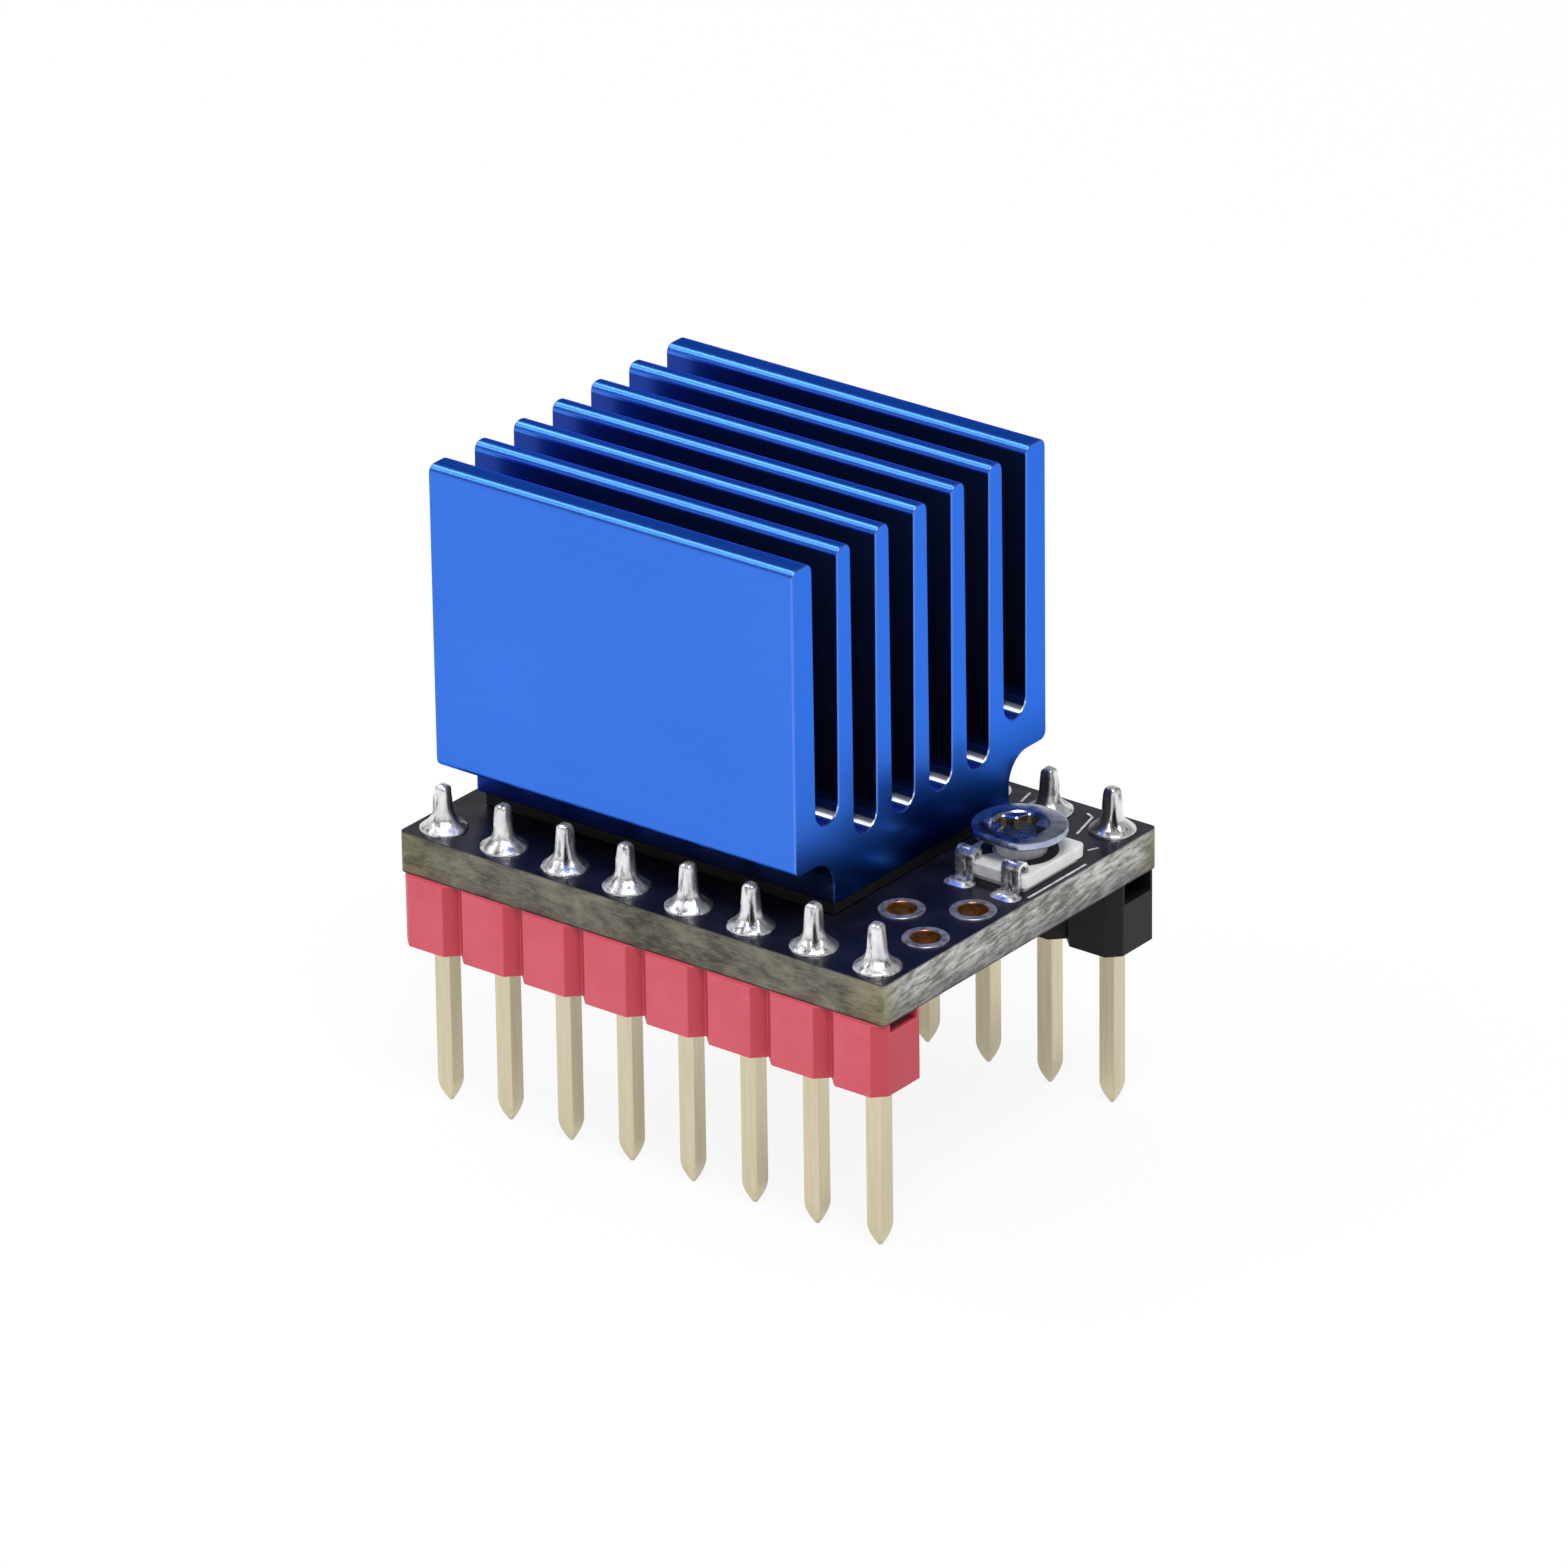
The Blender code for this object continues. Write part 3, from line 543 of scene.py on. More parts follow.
boardLook = {
    "resist": (17, 18, 30), "resistLight": (27, 28, 46),
    "frontDark": (54, 53, 44), "frontLight": (130, 128, 112),
    "endDark": (104, 104, 100), "endLight": (218, 218, 215), "endLow": (78, 77, 75),
    "endLowBand": (0.85, 0.1), "endLowShare": 0.6, "weaveShare": 0.9, "patchShare": 0.35, "streakTurn": 6,
    "cornerDark": (80, 76, 50), "cornerLight": (150, 143, 106), "cornerShare": 0.75,
    "cornerFront": 2.2, "cornerEnd": 1.3, "resistEdge": 0.07, "resistEdgeShare": 0.75,
}


def boardSurface(look):
    material, tree, shader = newMaterial("board_laminate", 0.3)
    low, high = boxMm("circuit_board")
    cloud = noiseOf(tree, 0.9, 4.0)
    resist = mixed(tree, mapped(tree, cloud, 0.35, 0.68), look["resist"], look["resistLight"])
    patch = noiseOf(tree, 0.75, 3.0, (1.0, 1.0, 1.6), 0.6)
    weave = noiseOf(tree, 3.2, 6.0, (0.8, 2.0, 4.4), 0.75)
    threads = times(tree, weave, look["weaveShare"])
    fibre = mapped(tree, maths(tree, "ADD", patch, threads), 0.64, 1.26)
    streaks = noiseOf(tree, 3.0, 5.0, (1.0, 0.5, 2.6), 0.72, look["streakTurn"])
    patches = times(tree, patch, look["patchShare"])
    streak = mapped(tree, maths(tree, "ADD", streaks, patches), 0.5, 0.88)
    acrossX, _, upright = normalParts(tree)
    x, y, height = positionParts(tree)
    front = mixed(tree, fibre, look["frontDark"], look["frontLight"])
    end = mixed(tree, streak, look["endDark"], look["endLight"])
    # painted shade: the end face is painted darker towards its bottom
    lower = mapped(tree, height, *(low.z + rise for rise in look["endLowBand"]))
    end = mixed(tree, times(tree, lower, look["endLowShare"]), end, look["endLow"])
    onEnd = mapped(tree, acrossX, 0.3, 0.8)
    edge = mixed(tree, onEnd, front, end)
    # the bare glass is yellower towards the corners
    alongX = mapped(tree, maths(tree, "ABSOLUTE", x), high.x - look["cornerFront"], high.x)
    alongY = mapped(tree, maths(tree, "ABSOLUTE", y), high.y - look["cornerEnd"], high.y)
    corner = addNode(tree, "ShaderNodeMix", {0: onEnd, 2: alongX, 3: alongY}).outputs[0]
    yellow = mixed(tree, fibre, look["cornerDark"], look["cornerLight"])
    edge = mixed(tree, times(tree, corner, look["cornerShare"]), edge, yellow)
    skirt, full = look["resistEdge"], 0.3 * look["resistEdge"]
    fromTop = mapped(tree, height, high.z - skirt, high.z - full)
    fromBottom = mapped(tree, height, low.z + skirt, low.z + full)
    rim = maths(tree, "MAXIMUM", fromTop, fromBottom)
    edge = mixed(tree, times(tree, rim, look["resistEdgeShare"]), edge, look["resist"])
    flat = mapped(tree, upright, 0.4, 0.6)
    dressed(tree, shader, mixed(tree, flat, edge, resist), mapped(tree, flat, 0.0, 1.0, 0.7, 0.27))
    relief = addNode(tree, "ShaderNodeMix", {0: flat, 2: fibre, 3: cloud}).outputs[0]
    bumped(tree, shader, relief, 0.02)
    return material


def buildBoard(look):
    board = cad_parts["circuit_board"]
    board.data.materials.clear()
    board.data.materials.append(boardSurface(look))
    print("board finished")


# header housings: moulded strips of octagonal blocks

housingLook = {
    "chamfer": 0.43, "edge": 0.035, "wall": 0.1,
    "front": {"channel": 0.35, "colour": (218, 90, 106), "deep": (212, 82, 98), "side": (192, 62, 76),
              "gloss": 0.4, "slot": "header_plastic_front"},
    "rear": {"channel": 0.7, "colour": (25, 25, 28), "deep": (20, 20, 22), "side": (22, 22, 24),
             "gloss": 0.2, "slot": "header_plastic_rear"},
}


def mouldedPlastic(name, tone):
    material, tree, shader = newMaterial(name, 0.42)
    shader.inputs["Specular IOR Level"].default_value = tone["gloss"]
    cloud = noiseOf(tree, 0.6, 3.0)
    skin = mixed(tree, mapped(tree, cloud, *noiseSpan), tone["deep"], tone["colour"])
    # painted shade: the slanting sides and ends of the blocks are painted deeper in colour
    acrossX, acrossY, _ = normalParts(tree)
    paintedSideShade = maths(tree, "MAXIMUM", mapped(tree, maths(tree, "MINIMUM", acrossX, acrossY), 0.45, 0.65),
                  mapped(tree, acrossX, 0.9, 0.97))
    grain = noiseOf(tree, 14.0, 2.0)
    dressed(tree, shader, mixed(tree, paintedSideShade, skin, tone["side"]), mapped(tree, grain, *noiseSpan, 0.36, 0.5))
    bumped(tree, shader, grain, 0.004)
    return material


def buildHousing(row, look):
    low, high = boxMm(f"header_housing_{row}")
    pins = [centreMm(f"pin_{row}_{number}").x for number in pinNumbers]
    joins = [low.x] + [(a + b) / 2 for a, b in zip(pins, pins[1:])] + [high.x]
    cut = look["chamfer"]
    side = [(joins[0], low.y + cut)]
    for left, right in zip(joins, joins[1:]):
        side += [(left + cut, low.y), (right - cut, low.y), (right, low.y + cut)]
    outline = side + [(x, low.y + high.y - y) for x, y in reversed(side)]
    piece = lofted(f"{row}_housing", [ringAt(outline, z) for z in (low.z, high.z)])
    # a channel under the board runs out at both ends
    tone = look[row]
    channel = bmesh.new()
    size = (2 * (high.x - low.x), high.y - low.y - 2 * (cut + look["wall"]), 2 * tone["channel"])
    middle = (low + high) / 2
    plainBox(channel, (middle.x, middle.y, high.z), size)
    cutAway(piece, channel, look["edge"], 30)
    material = mouldedPlastic(f"{row}_plastic", tone)
    settled(piece, [material], [f"header_housing_{row}"], 30)
    print(row, "housing moulded")


# pins: one drawn pin, set along each row

pinLook = {
    "corner": 0.06, "cornerSteps": 3,
    "pointLength": 0.8, "pointSide": 0.12, "pointCurve": 1.8, "pointSteps": 10,
    "gold": (216, 207, 178), "goldDeep": (206, 196, 166),
}


def squareRing(half, corner, height, steps):
    return ringAt(roundedRectangle(2 * half, 2 * half, min(corner, 0.6 * half), steps), height)


def pinMetal(look):
    material, tree, shader = newMaterial("pin_gold", 0.3, 1.0)
    streak = noiseOf(tree, 1.5, 3.0, (5.0, 5.0, 0.2))
    tone = mixed(tree, mapped(tree, streak, 0.3, 0.72), look["goldDeep"], look["gold"])
    dressed(tree, shader, tone, mapped(tree, streak, *noiseSpan, 0.28, 0.36))
    bumped(tree, shader, streak, 0.001)
    return material


rowInputs = (("Count", "NodeSocketInt"), ("Start", "NodeSocketVector"), ("Step", "NodeSocketVector"),
             ("Metal", "NodeSocketMaterial"))


def rowPlaces(names):
    first, second = centreMm(names[0]), centreMm(names[1])
    return {"Count": len(names), "Start": (first.x, first.y, 0.0), "Step": (second.x - first.x, 0.0, 0.0)}


def placedRow(tree, source, turn=None):
    # the drawn piece at equal steps along a line, as plain geometry
    line = addNode(tree, "GeometryNodeMeshLine", {"Count": source.outputs["Count"],
                   "Start Location": source.outputs["Start"], "Offset": source.outputs["Step"]})
    values = {"Points": line.outputs[0], "Instance": source.outputs["Geometry"]}
    if turn is not None:
        values["Rotation"] = turn
    placed = addNode(tree, "GeometryNodeInstanceOnPoints", values)
    return addNode(tree, "GeometryNodeRealizeInstances", {0: placed.outputs[0]}).outputs[0]


def finishedRow(tree, source, sink, geometry):
    values = {"Geometry": geometry, "Material": source.outputs["Metal"]}
    done = addNode(tree, "GeometryNodeSetMaterial", values)
    tree.links.new(done.outputs[0], sink.inputs[0])
    return tree


def pinRowTree():
    tree, source, sink = geometryTree("pin row", rowInputs)
    return finishedRow(tree, source, sink, placedRow(tree, source))


def buildPins(look):
    metal = pinMetal(look)
    tree = pinRowTree()
    for row in rows:
        names = [f"pin_{row}_{number}" for number in pinNumbers]
        low, high = boxMm(names[0])
        half = (high.x - low.x) / 2
        rings = []
        for step in range(look["pointSteps"], -1, -1):
            down = step / look["pointSteps"]
            size = half - (half - look["pointSide"] / 2) * down ** look["pointCurve"]
            height = low.z + look["pointLength"] * (1 - down)
            rings.append(squareRing(size, look["corner"], height, look["cornerSteps"]))
        rings.append(squareRing(half, look["corner"], boxMm("circuit_board")[1].z, look["cornerSteps"]))
        piece = lofted(f"{row}_pins", rings)
        useTree(piece, tree, {**rowPlaces(names), "Metal": metal})
        settled(piece, [metal], names, 25)
    print("pins set")


# solder joints: a hollow-sided foot and a fluted column over the pin's end

solderLook = {
    "steps": 56, "rim": 0.05, "hollow": 1.4, "hollowLevels": 12, "wobble": 0.09, "grain": 2.6, "seed": 7,
    "column": ((0.385, 0.48), (0.34, 0.57), (0.312, 0.7), (0.285, 0.98), (0.262, 1.25), (0.245, 1.38),
               (0.222, 1.46), (0.165, 1.52), (0.08, 1.546)),
    "squareBand": (0.3, 0.9), "flutes": (0.04, 0.02, 0.06, 0.38), "fluteWidth": 0.2, "creaseGain": 4,
    "fluteStart": (0.12, 0.36), "fluteEnd": (1.25, 1.5), "easeBand": (0.5, 0.95), "fluteEase": 0.6,
    "towardBand": (0.15, 0.6), "towardShade": 0.85, "streakBand": (0.54, 0.66), "streakShade": 0.7,
    "bright": (246, 246, 245), "dull": (218, 219, 220), "creaseShade": (46, 46, 48),
    "front": {"toward": (0.45, 0.89, 0.0), "shade": (40, 44, 66)},
    "rear": {"toward": (-0.6, -0.8, 0.0), "shade": (34, 29, 26)},
}


def solderMetal(name, look, side):
    material, tree, shader = newMaterial(name, 0.25, 0.75)
    cloud = noiseOf(tree, 3.0, 4.0, (1.0, 1.0, 0.4))
    skin = mixed(tree, mapped(tree, cloud, 0.35, 0.65), look["dull"], look["bright"])
    creaseShade = attributeOf(tree, "creaseShade")
    # painted reflection and shade: darker on the side towards the heatsink, and random streaks take that
    # colour too
    geometry = addNode(tree, "ShaderNodeNewGeometry")
    facing = addNode(tree, "ShaderNodeVectorMath", {0: geometry.outputs["Normal"], 1: side["toward"]},
                     operation="DOT_PRODUCT")
    paintedHeatsinkReflection = times(tree, mapped(tree, facing.outputs["Value"], *look["towardBand"]), look["towardShade"])
    streaks = noiseOf(tree, 2.0, 3.0, (2.6, 2.6, 0.5))
    streaked = times(tree, mapped(tree, streaks, *look["streakBand"]), look["streakShade"])
    skin = mixed(tree, maths(tree, "MAXIMUM", paintedHeatsinkReflection, streaked), skin, side["shade"])
    # painted shade in the flute creases
    skin = mixed(tree, creaseShade, skin, look["creaseShade"])
    dressed(tree, shader, skin, mapped(tree, cloud, *noiseSpan, 0.22, 0.36))
    bumped(tree, shader, noiseOf(tree, 7.0, 3.0, (1.0, 1.0, 0.3)), 0.012)
    return material


def solderRowTree():
    uneven = (("Wobble", "NodeSocketFloat"), ("Grain", "NodeSocketFloat"), ("Seed", "NodeSocketInt"))
    tree, source, sink = geometryTree("solder row", rowInputs + uneven)
    # some joints are turned by a quarter
    quarter = addNode(tree, "FunctionNodeRandomValue", {"Seed": source.outputs["Seed"]}, data_type="INT")
    quarter.inputs[4].default_value = 0
    quarter.inputs[5].default_value = 1
    euler = addNode(tree, "ShaderNodeCombineXYZ", {"Z": times(tree, quarter.outputs[2], math.pi / 2)})
    turn = addNode(tree, "FunctionNodeEulerToRotation", {0: euler.outputs[0]})
    real = placedRow(tree, source, turn.outputs[0])
    # and all of them wobble by a noise that is drawn out along the pin
    place = addNode(tree, "GeometryNodeInputPosition")
    flow = addNode(tree, "ShaderNodeVectorMath", {0: place.outputs[0], 1: (1.0, 1.0, 0.3)},
                   operation="MULTIPLY")
    noise = addNode(tree, "ShaderNodeTexNoise", {"Vector": flow.outputs[0], "Scale": source.outputs["Grain"],
                    "Detail": 1.5})
    swing = maths(tree, "SUBTRACT", noise.outputs["Fac"], 0.5)
    facing = addNode(tree, "GeometryNodeInputNormal")
    values = {0: facing.outputs[0], "Scale": times(tree, swing, source.outputs["Wobble"])}
    offset = addNode(tree, "ShaderNodeVectorMath", values, operation="SCALE")
    values = {"Geometry": real, "Offset": offset.outputs[0]}
    moved = addNode(tree, "GeometryNodeSetPosition", values)
    return finishedRow(tree, source, sink, moved.outputs[0])


def smoothStep(value, low, high):
    value = min(1.0, max(0.0, (value - low) / (high - low)))
    return value * value * (3 - 2 * value)


def solderRings(look, radius, base):
    # round on the board, squarish and fluted round the pin, closed over its end
    waist, foot = look["column"][0]
    levels = [(radius, 0.0)]
    for level in range(look["hollowLevels"]):
        rise = level / look["hollowLevels"]
        size = waist + (radius - waist) * (1 - rise) ** look["hollow"]
        levels.append((size, look["rim"] + (foot - look["rim"]) * rise))
    rings, creases = [], []
    for size, z in levels + list(look["column"]):
        square = smoothStep(z, *look["squareBand"])
        along = smoothStep(z, *look["fluteStart"])
        along *= 1 - look["fluteEase"] * smoothStep(z, *look["easeBand"])
        along *= 1 - smoothStep(z, *look["fluteEnd"])
        ring = []
        for x, y in circlePoints(1.0, look["steps"], 180 / look["steps"]):
            reach = 1 / (abs(x) ** 4 + abs(y) ** 4) ** 0.25
            quarter = math.atan2(y, x) / (math.pi / 2) % 4
            corner = (quarter % 1 - 0.5) * math.pi / 2
            flute = along * look["flutes"][int(quarter)] * math.exp(-(corner / look["fluteWidth"]) ** 2)
            grow = size * (1 + square * (reach - 1)) * (1 - flute)
            ring.append((grow * x, grow * y, base + z))
            creases.append(min(1.0, look["creaseGain"] * flute))
        rings.append(ring)
    return rings, creases


def buildSolder(look):
    tree = solderRowTree()
    base = boxMm("circuit_board")[1].z
    for index, row in enumerate(rows):
        metal = solderMetal(f"{row}_solder", look, look[row])
        names = [f"solder_{row}_{number}" for number in pinNumbers]
        low, high = boxMm(names[0])
        rings, creases = solderRings(look, (high.x - low.x) / 2, base)
        piece = lofted(f"{row}_joints", rings)
        marks = piece.data.attributes.new("creaseShade", "FLOAT", "POINT")
        marks.data.foreach_set("value", creases)
        values = {"Wobble": look["wobble"], "Grain": look["grain"], "Seed": look["seed"] + index}
        useTree(piece, tree, {**rowPlaces(names), **values, "Metal": metal})
        settled(piece, [metal], names, 60, weighted=False)
    print("joints soldered")


# plated holes beside the heatsink

ringLook = {"bore": 0.5, "edge": 0.02, "steps": 48, "ring": (178, 178, 196), "wall": (184, 128, 80)}


def platedMetal(name, colour, roughness, metallic, dull=0.7):
    material, tree, shader = newMaterial(name, roughness, metallic)
    cloud = noiseOf(tree, 4.0, 3.0)
    deep = tuple(channel * dull for channel in colour)
    skin = mixed(tree, mapped(tree, cloud, *noiseSpan), deep, colour)
    dressed(tree, shader, skin, mapped(tree, cloud, *noiseSpan, roughness - 0.08, roughness + 0.1))
    bumped(tree, shader, cloud, 0.01)
    return material


def buildRings(look):
    materials = [platedMetal("ring_tin", look["ring"], 0.35, 0.6),
                 platedMetal("wall_copper", look["wall"], 0.3, 0.7)]
    bm = bmesh.new()
    names = [f"plated_hole_{number}" for number in (1, 2, 3)]
    for name in names:
        low, high = boxMm(name)
        middle = (low + high) / 2
        outer, bore, edge = (high.x - low.x) / 2, look["bore"], look["edge"]
        section = [
            (bore + edge, high.z), (outer - edge, high.z), (outer, high.z - edge), (outer, low.z + edge),
            (outer - edge, low.z), (bore + edge, low.z), (bore, low.z + edge), (bore, high.z - edge),
        ]
        loft(bm, [ringAt(circlePoints(r, look["steps"]), z, middle.xy) for r, z in section], False, True)
    piece = drawn("plated_rings", bm)
    for face in piece.data.polygons:
        reach = min((face.center.xy - centreMm(name).xy).length for name in names)
        face.material_index = 1 if reach < look["bore"] + 0.5 * look["edge"] else 0
    settled(piece, materials, names, 30)
    print("holes plated")


# trimmer: ceramic base with a dark track, pressed dial and tinned lugs

trimmerLook = {
    "corner": 0.22, "edge": 0.06, "bore": 0.5, "steps": 8, "footHeight": 0.22, "footInset": 0.2,
    "ceramic": (240, 241, 239), "ceramicDeep": (226, 226, 225),
    "trackInner": 0.9, "trackOuter": 1.28, "trackHeight": 0.012, "trackGap": 70, "track": (10, 10, 11),
    "trackLight": (24, 23, 24),
}
dialLook = {
    "edge": 0.07, "rim": 0.6, "dish": 0.05, "thickness": 0.3, "flat": 1.39, "hub": 0.83, "spindle": 0.45,
    "hubGap": 0.6, "hubRound": 0.3,
    "crossLength": 1.76, "crossWidth": 0.64, "crossTip": 0.56, "tipRadius": 0.14,
    "cornerRadius": 0.2, "crossDepth": 0.2, "lead": 0.04,
    "metal": (178, 186, 208), "metalDeep": (138, 148, 178), "recess": (168, 154, 126),
    "hubLight": (222, 222, 220), "hubDeep": (204, 204, 202),
}
lugLook = {"thickness": 0.14, "bend": 0.2, "foot": 0.45, "footBend": 0.1, "edge": 0.035, "slit": 0.16,
           "solderReach": 0.24, "solderHeight": 0.17, "bright": (246, 246, 246),
           "solderLevels": ((1.0, 0.0), (0.93, 0.12), (0.82, 0.35), (0.7, 0.6), (0.5, 0.85), (0.25, 1.0))}


def ceramicSurface(look):
    material, tree, shader = newMaterial("trimmer_ceramic", 0.45)
    cloud = noiseOf(tree, 2.2, 4.0)
    dressed(tree, shader, mixed(tree, mapped(tree, cloud, *noiseSpan), look["ceramicDeep"], look["ceramic"]))
    bumped(tree, shader, noiseOf(tree, 12.0, 3.0), 0.01)
    return material


def buildTrimmerBase(look):
    low, high = boxMm("trimmer_base")
    middle = (low + high) / 2
    width, depth = high.x - low.x, high.y - low.y
    under = low.z + look["footHeight"]
    levels = [(look["footInset"], low.z), (look["footInset"], under), (0.3 * look["edge"], under)]
    for angle in (0, 30, 60, 90):
        turn = math.radians(angle)
        levels.append((look["edge"] * (1 - math.cos(turn)), high.z - look["edge"] * (1 - math.sin(turn))))
    rings = []
    for inset, z in levels:
        radius = max(0.05, look["corner"] - inset)
        outline = roundedRectangle(width - 2 * inset, depth - 2 * inset, radius, look["steps"])
        rings.append(ringAt(outline, z, middle.xy))
    bore = polarMatch(outline, look["bore"])
    rings += [ringAt(bore, high.z, middle.xy), ringAt(bore, low.z, middle.xy)]
    body = lofted("trimmer_body", rings, False, True)
    settled(body, [ceramicSurface(look)], ["trimmer_base"], 40)
    material = speckled("trimmer_track", look["track"], look["trackLight"], 0.55, 7.0, 3.0, 0.01, None)
    # the printed track is open towards the two end lugs
    start, end = -90 + look["trackGap"] / 2, 270 - look["trackGap"] / 2
    outline = arcPoints((0.0, 0.0), look["trackOuter"], start, end, 60)
    outline += arcPoints((0.0, 0.0), look["trackInner"], end, start, 60)
    rings = [ringAt(outline, z, middle.xy) for z in (high.z, high.z + look["trackHeight"])]
    settled(lofted("trimmer_track", rings), [material], [], 40)


def crossOutline(look, grow=0.0):
    reach = look["crossLength"] / 2 - look["tipRadius"]
    tip = look["crossTip"] / 2 - look["tipRadius"]
    inner = look["crossWidth"] / 2 + look["cornerRadius"]
    quarter = arcPoints((reach, tip), look["tipRadius"] + grow, 0, 90, 6)
    quarter += arcPoints((inner, inner), look["cornerRadius"] - grow, 270, 180, 8)
    quarter += arcPoints((tip, reach), look["tipRadius"] + grow, 0, 90, 6)
    points = []
    for _ in range(4):
        points += quarter
        quarter = [(-y, x) for x, y in quarter]
    return points


def dialMetal(look):
    material, tree, shader = newMaterial("rotor_metal", 0.2, 1.0)
    low, high = boxMm("trimmer_rotor")
    middle = Vector(((low.x + high.x) / 2, high.y - (high.x - low.x) / 2))
    cloud = noiseOf(tree, 2.5, 4.0)
    x, y, z = positionParts(tree)
    skin = mixed(tree, mapped(tree, cloud, *noiseSpan), look["metalDeep"], look["metal"])
    # the floor of the cross recess is painted a darker brown: partly its own tint, partly painted shade
    floor = high.z - look["dish"] - look["crossDepth"]
    sunk = mapped(tree, z, floor + 0.14, floor + 0.02)
    above = mapped(tree, z, floor - 0.02, floor - 0.01)
    offX, offY = maths(tree, "SUBTRACT", x, middle.x), maths(tree, "SUBTRACT", y, middle.y)
    square = maths(tree, "ADD", times(tree, offX, offX), times(tree, offY, offY))
    arm = look["crossLength"] / 2
    near = mapped(tree, maths(tree, "SQRT", square), arm + 0.12, arm + 0.06)
    inRecess = times(tree, times(tree, sunk, above), near)
    skin = mixed(tree, inRecess, skin, look["recess"])
    dressed(tree, shader, skin, mapped(tree, cloud, *noiseSpan, 0.16, 0.3))
    bumped(tree, shader, noiseOf(tree, 5.0, 2.0), 0.003)
    return material


def dialRing(directions, radius, flat):
    # a circle with a flat on its front side
    points = polarMatch(directions, radius)
    return [(x * flat / -y, -flat) if y < -flat else (x, y) for x, y in points]


def buildDial(look):
    low, high = boxMm("trimmer_rotor")
    radius = (high.x - low.x) / 2
    middle = ((low.x + high.x) / 2, high.y - radius)
    top, dish = high.z, high.z - look["dish"]
    under = top - look["thickness"]
    floor = dish - look["crossDepth"]
    wall = crossOutline(look)
    lead = crossOutline(look, look["lead"])
    edge, ease = look["edge"], 0.3 * look["edge"]
    mouth, hubEnd = radius - look["rim"], under - look["hubGap"]
    section = [
        (mouth - look["dish"], dish), (mouth, top), (radius - edge, top), (radius - ease, top - ease),
        (radius, top - edge), (radius, under + edge), (radius - edge, under), (look["hub"], under),
        (look["hub"], hubEnd), (look["spindle"], hubEnd), (look["spindle"], low.z),
    ]
    rings = [ringAt(wall, floor, middle), ringAt(wall, dish - look["lead"], middle)]
    rings.append(ringAt(lead, dish, middle))
    for reach, z in section:
        # the flat follows the rim inwards, and the hub stays round
        flat = look["flat"] - radius + max(reach, look["hub"] + look["hubRound"])
        rings.append(ringAt(dialRing(lead, reach, flat), z, middle))
    piece = lofted("trimmer_dial", rings)
    for face in piece.data.polygons:
        face.material_index = 1 if face.center.z < under - 0.001 else 0
    hub = speckled("hub_ceramic", look["hubDeep"], look["hubLight"], 0.45, 4.0)
    settled(piece, [dialMetal(look), hub], ["trimmer_rotor"], 30, body="rotor")


def lugPath(look, low, high, inner):
    # from the hook's end on the base, over and down to the foot on the board
    half, bend, turn = look["thickness"] / 2, look["bend"], look["footBend"]
    wall = 0.01 + half
    path = [(wall - 2 * bend, inner)]
    path += arcPoints((wall - bend, high - half - bend), bend, 180, 0, 14)
    path += [(wall + turn - x, z) for x, z in arcPoints((0.0, low + half + turn), turn, 0, -90, 6)]
    return path + [(look["foot"], low + half)]


def buildLugs(look):
    baseLow, baseHigh = boxMm("trimmer_base")
    metal = platedMetal("lug_tin", look["bright"], 0.22, 0.85, 0.5)
    names = ["trimmer_end_terminal_1", "trimmer_end_terminal_2", "trimmer_wiper_terminal"]
    bm, slits, pools = bmesh.new(), bmesh.new(), bmesh.new()
    half = look["thickness"] / 2
    for name in names:
        low, high = boxMm(name)
        out = 1 if name == names[2] else -1
        face = baseHigh.y if out > 0 else baseLow.y
        path = lugPath(look, low.z, high.z, baseHigh.z + 0.01)
        rings = []
        for index, (u, z) in enumerate(path):
            a, b = path[max(0, index - 1)], path[min(len(path) - 1, index + 1)]
            along = Vector((b[0] - a[0], b[1] - a[1])).normalized()
            side = Vector((along.y, -along.x)) * half
            corners = ((low.x, 1), (high.x, 1), (high.x, -1), (low.x, -1))
            rings.append([(x, face + out * (u + s * side.x), z + s * side.y) for x, s in corners])
        loft(bm, rings)
        middle = (low.x + high.x) / 2
        centre = (middle, face + out * (look["foot"] / 2 + 0.1), (low.z + baseHigh.z) / 2 + 0.12)
        roundedBox(slits, centre, (look["slit"], look["foot"] + 0.2, baseHigh.z - low.z + 0.1), 0.05, 2)
        # solder drawn up round the foot
        reach = look["solderReach"]
        width, depth = high.x - low.x + 1.6 * reach, look["foot"] + reach
        pool = (middle, face + out * (look["foot"] / 2 + 0.6 * reach))
        base = low.z - 0.01
        heap = []
        for share, rise in look["solderLevels"]:
            outline = roundedRectangle(width * share, depth * share, 0.45 * depth * share, 8)
            heap.append(ringAt(outline, base + look["solderHeight"] * rise, pool))
        loft(pools, heap)
    piece = drawn("trimmer_lugs", bm)
    cutAway(piece, slits, look["edge"], 50)
    settled(piece, [metal], names, 35)
    tin = bpy.data.materials["front_solder"]
    settled(drawn("trimmer_solder", pools), [tin], [], 50)
    print("trimmer assembled")


# white print on the board

printLook = {
    "width": 0.08, "height": 0.015, "colour": (226, 228, 230), "worn": (170, 174, 180),
    "lines": (
        ((9.76, 0.55), (9.77, 3.69)), ((9.19, 4.58), (9.36, 4.94)), ((8.16, 5.4), (7.82, 6.73), (7.51, 6.87)),
        ((5.21, 6.32), (5.04, 7.06)),
    ),
}


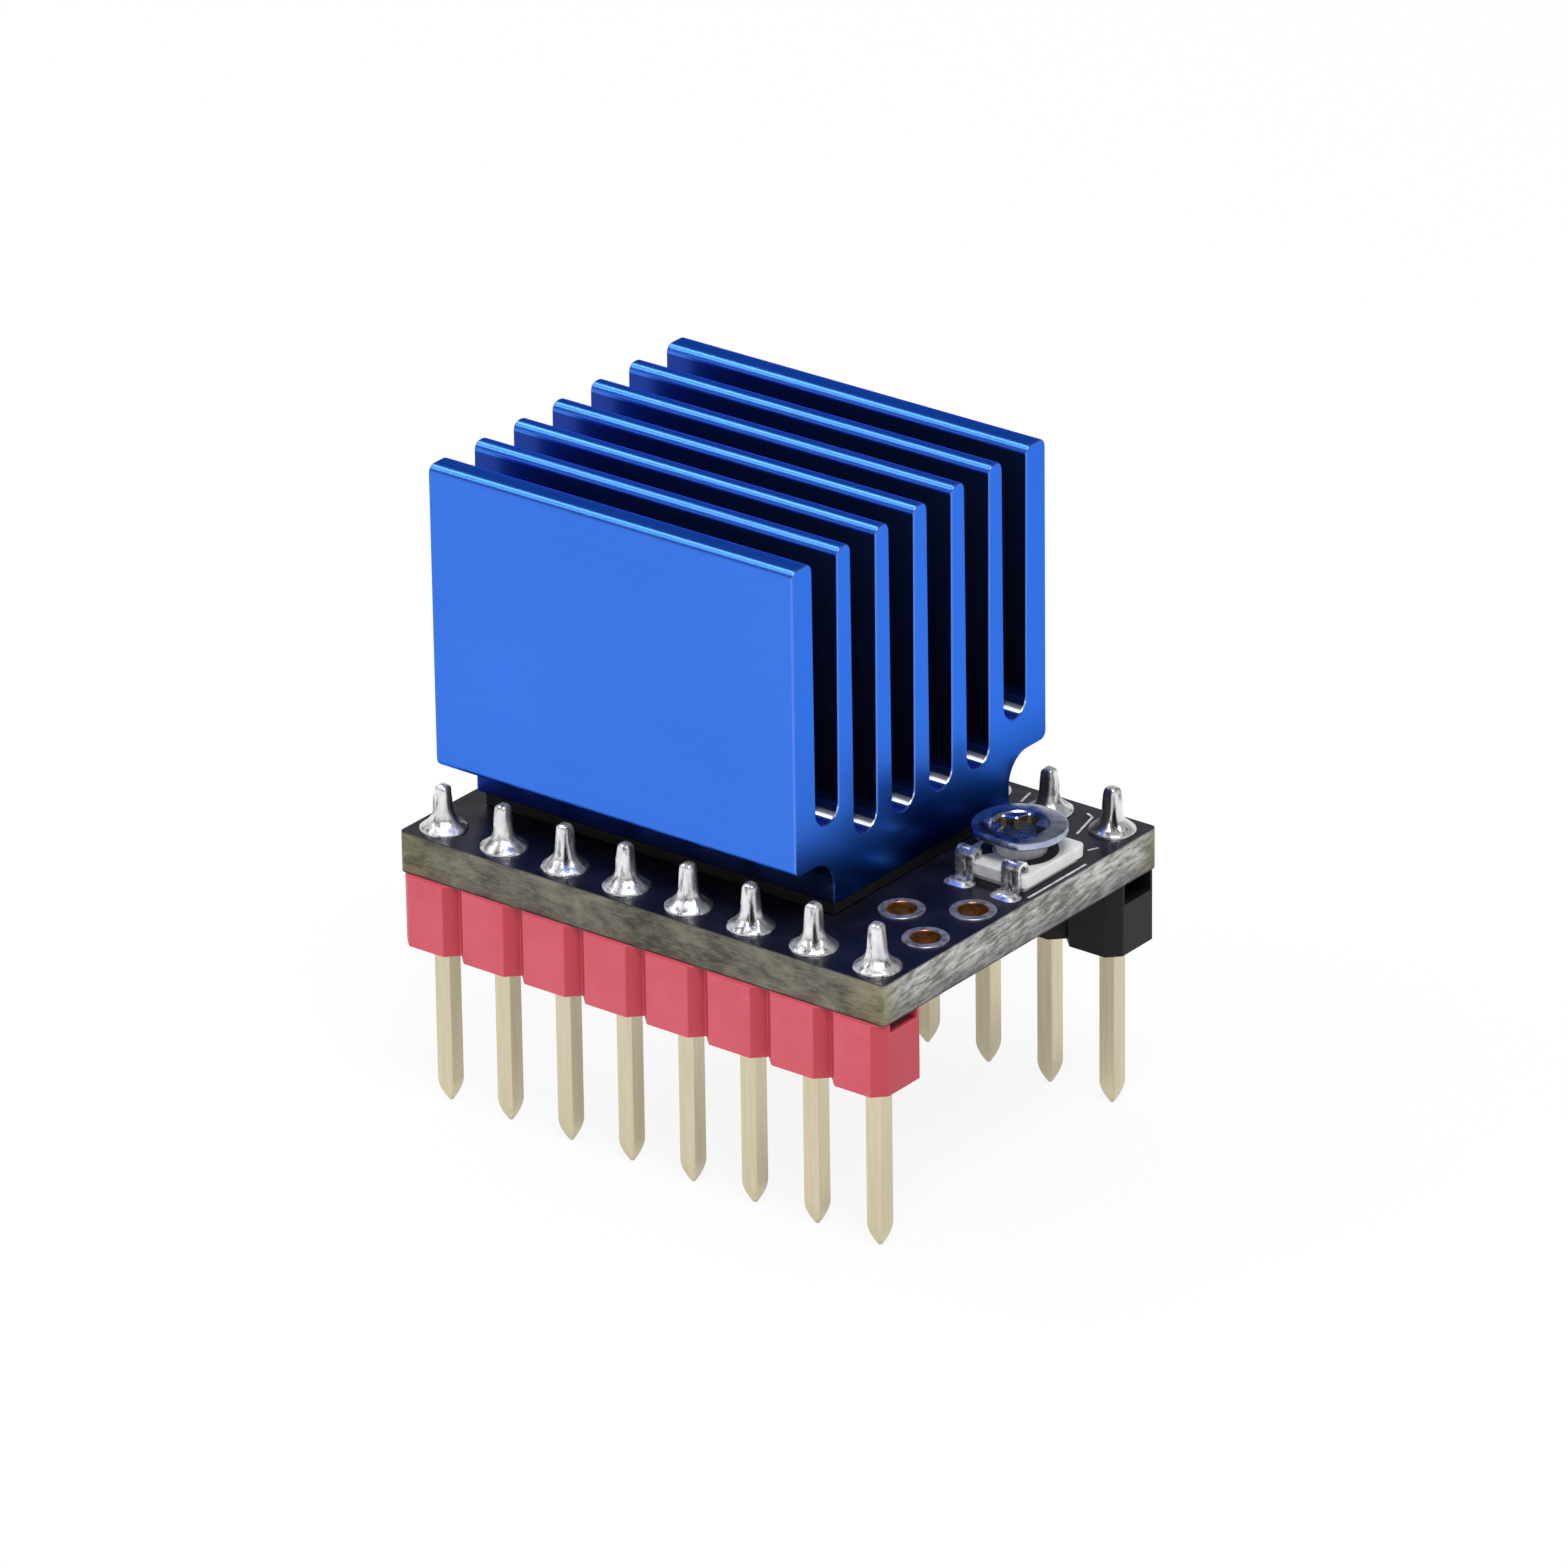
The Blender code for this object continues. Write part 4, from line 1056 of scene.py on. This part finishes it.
def ribbon(bm, points, width, low, high):
    points = [Vector(point) for point in points]
    left, right = [], []
    for index, point in enumerate(points):
        before = (point - points[index - 1]).normalized() if index else None
        after = (points[index + 1] - point).normalized() if index < len(points) - 1 else None
        along = ((before or after) + (after or before)).normalized()
        side = Vector((-along.y, along.x)) * width / 2 / max(0.4, along.dot(after or before))
        left.append(point + side)
        right.append(point - side)
    outline = [tuple(point) for point in left + right[::-1]]
    loft(bm, [ringAt(outline, z) for z in (low, high)])


def buildPrint(look):
    top = boxMm("circuit_board")[1].z
    bm = bmesh.new()
    for points in look["lines"]:
        ribbon(bm, points, look["width"], top, top + look["height"])
    white = speckled("print_white", look["colour"], look["worn"], 0.6, 5.0, depth=0.006, span=(0.4, 0.7))
    settled(drawn("board_print", bm), [white], [], 30)
    print("board printed")


# parts under the board

chipLook = {
    "edge": 0.06, "lands": 7, "landPitch": 0.5, "landWidth": 0.24, "landHeight": 0.2, "landProud": 0.012,
    "mark": 0.28, "markInset": 0.75, "markDepth": 0.03, "colour": (30, 30, 32), "light": (44, 44, 46),
}
chipPartLook = {
    "cap": 0.35, "proud": 0.03, "edge": 0.05, "fillet": 0.2, "filletRise": 1.4, "filletShare": 0.46,
    "glaze": (24, 24, 27), "glazeLight": (38, 38, 42), "tan": (150, 118, 84), "tanLight": (172, 138, 102),
}


def buildChip(look):
    low, high = boxMm("driver_chip")
    middle = (low + high) / 2
    bm = bmesh.new()
    roundedBox(bm, middle, high - low, look["edge"], 3)
    piece = drawn("driver_package", bm)
    mark = bmesh.new()
    spot = (low.x + look["markInset"], low.y + look["markInset"])
    bmesh.ops.create_cone(mark, cap_ends=True, segments=32, radius1=look["mark"], radius2=look["mark"],
                          depth=2 * look["markDepth"], matrix=Matrix.Translation((*spot, low.z)))
    cutAway(piece, mark)
    resin = speckled("chip_resin", look["colour"], look["light"], 0.5, 8.0)
    settled(piece, [resin], ["driver_chip"], 30)
    lands = bmesh.new()
    width, tall, proud = look["landWidth"], look["landHeight"], look["landProud"]
    for index in range(look["lands"]):
        offset = (index - (look["lands"] - 1) / 2) * look["landPitch"]
        for side in (-1, 1):
            edgeX = middle.x + side * (high.x - low.x) / 2
            edgeY = middle.y + side * (high.y - low.y) / 2
            z = high.z - tall / 2
            roundedBox(lands, (edgeX, middle.y + offset, z), (2 * proud, width, tall), 0.3 * proud, 1)
            roundedBox(lands, (middle.x + offset, edgeY, z), (width, 2 * proud, tall), 0.3 * proud, 1)
    tin = bpy.data.materials["lug_tin"]
    settled(drawn("driver_lands", lands), [tin], [], 30)


def buildChipPart(name, body, tin, look):
    low, high = boxMm(name)
    size, middle = high - low, (low + high) / 2
    axis = 0 if size.x > size.y else 1
    bm = bmesh.new()
    roundedBox(bm, middle, size - Vector((2 * look["proud"],) * 3), look["edge"], 2)
    coreFaces = len(bm.faces)
    share = look["filletShare"]
    for side in (-1, 1):
        place, span = middle.copy(), size.copy()
        place[axis] = middle[axis] + side * (size[axis] - look["cap"]) / 2
        span[axis] = look["cap"]
        roundedBox(bm, place, span, look["edge"], 3)
        # solder between the end and the board
        rings = []
        for step in range(1, 7):
            turn = math.radians(15 * step)
            out = look["fillet"] * (1 - math.sin(turn)) + size[axis] / 2 - 0.01
            drop = high.z - look["filletRise"] * look["fillet"] * (1 - math.cos(turn))
            ring = []
            for across, z in ((-share, high.z), (share, high.z), (share, drop), (-share, drop)):
                point = Vector((0.0, 0.0, z))
                point[axis] = middle[axis] + side * out
                point[1 - axis] = middle[1 - axis] + across * size[1 - axis]
                ring.append(point)
            rings.append(ring)
        loft(bm, rings)
    piece = drawn(f"{name}_body", bm)
    for index, face in enumerate(piece.data.polygons):
        face.material_index = 0 if index < coreFaces else 1
    settled(piece, [body, tin], [name], 35)


def buildUnderside(look):
    tin = bpy.data.materials["lug_tin"]
    glaze = speckled("resistor_glaze", look["glaze"], look["glazeLight"], 0.3, 5.0)
    tan = speckled("capacitor_ceramic", look["tan"], look["tanLight"], 0.45, 5.0)
    for name in ("sense_resistor_a", "sense_resistor_b", "reference_resistor_a", "reference_resistor_b"):
        buildChipPart(name, glaze, tin, look)
    for name in ("supply_capacitor_a", "supply_capacitor_b", "charge_pump_capacitor", "regulator_capacitor"):
        buildChipPart(name, tan, tin, look)
    print("underside fitted")


buildCamera(cameraLook)
buildLight(lightLook)
buildFloor(floorLook)
buildHeatsink(heatsinkLook)
buildTape(tapeLook)
buildBoard(boardLook)
for rowName in rows:
    buildHousing(rowName, housingLook)
buildPins(pinLook)
buildSolder(solderLook)
buildRings(ringLook)
buildTrimmerBase(trimmerLook)
buildDial(dialLook)
buildLugs(lugLook)
buildPrint(printLook)
buildChip(chipLook)
buildUnderside(chipPartLook)
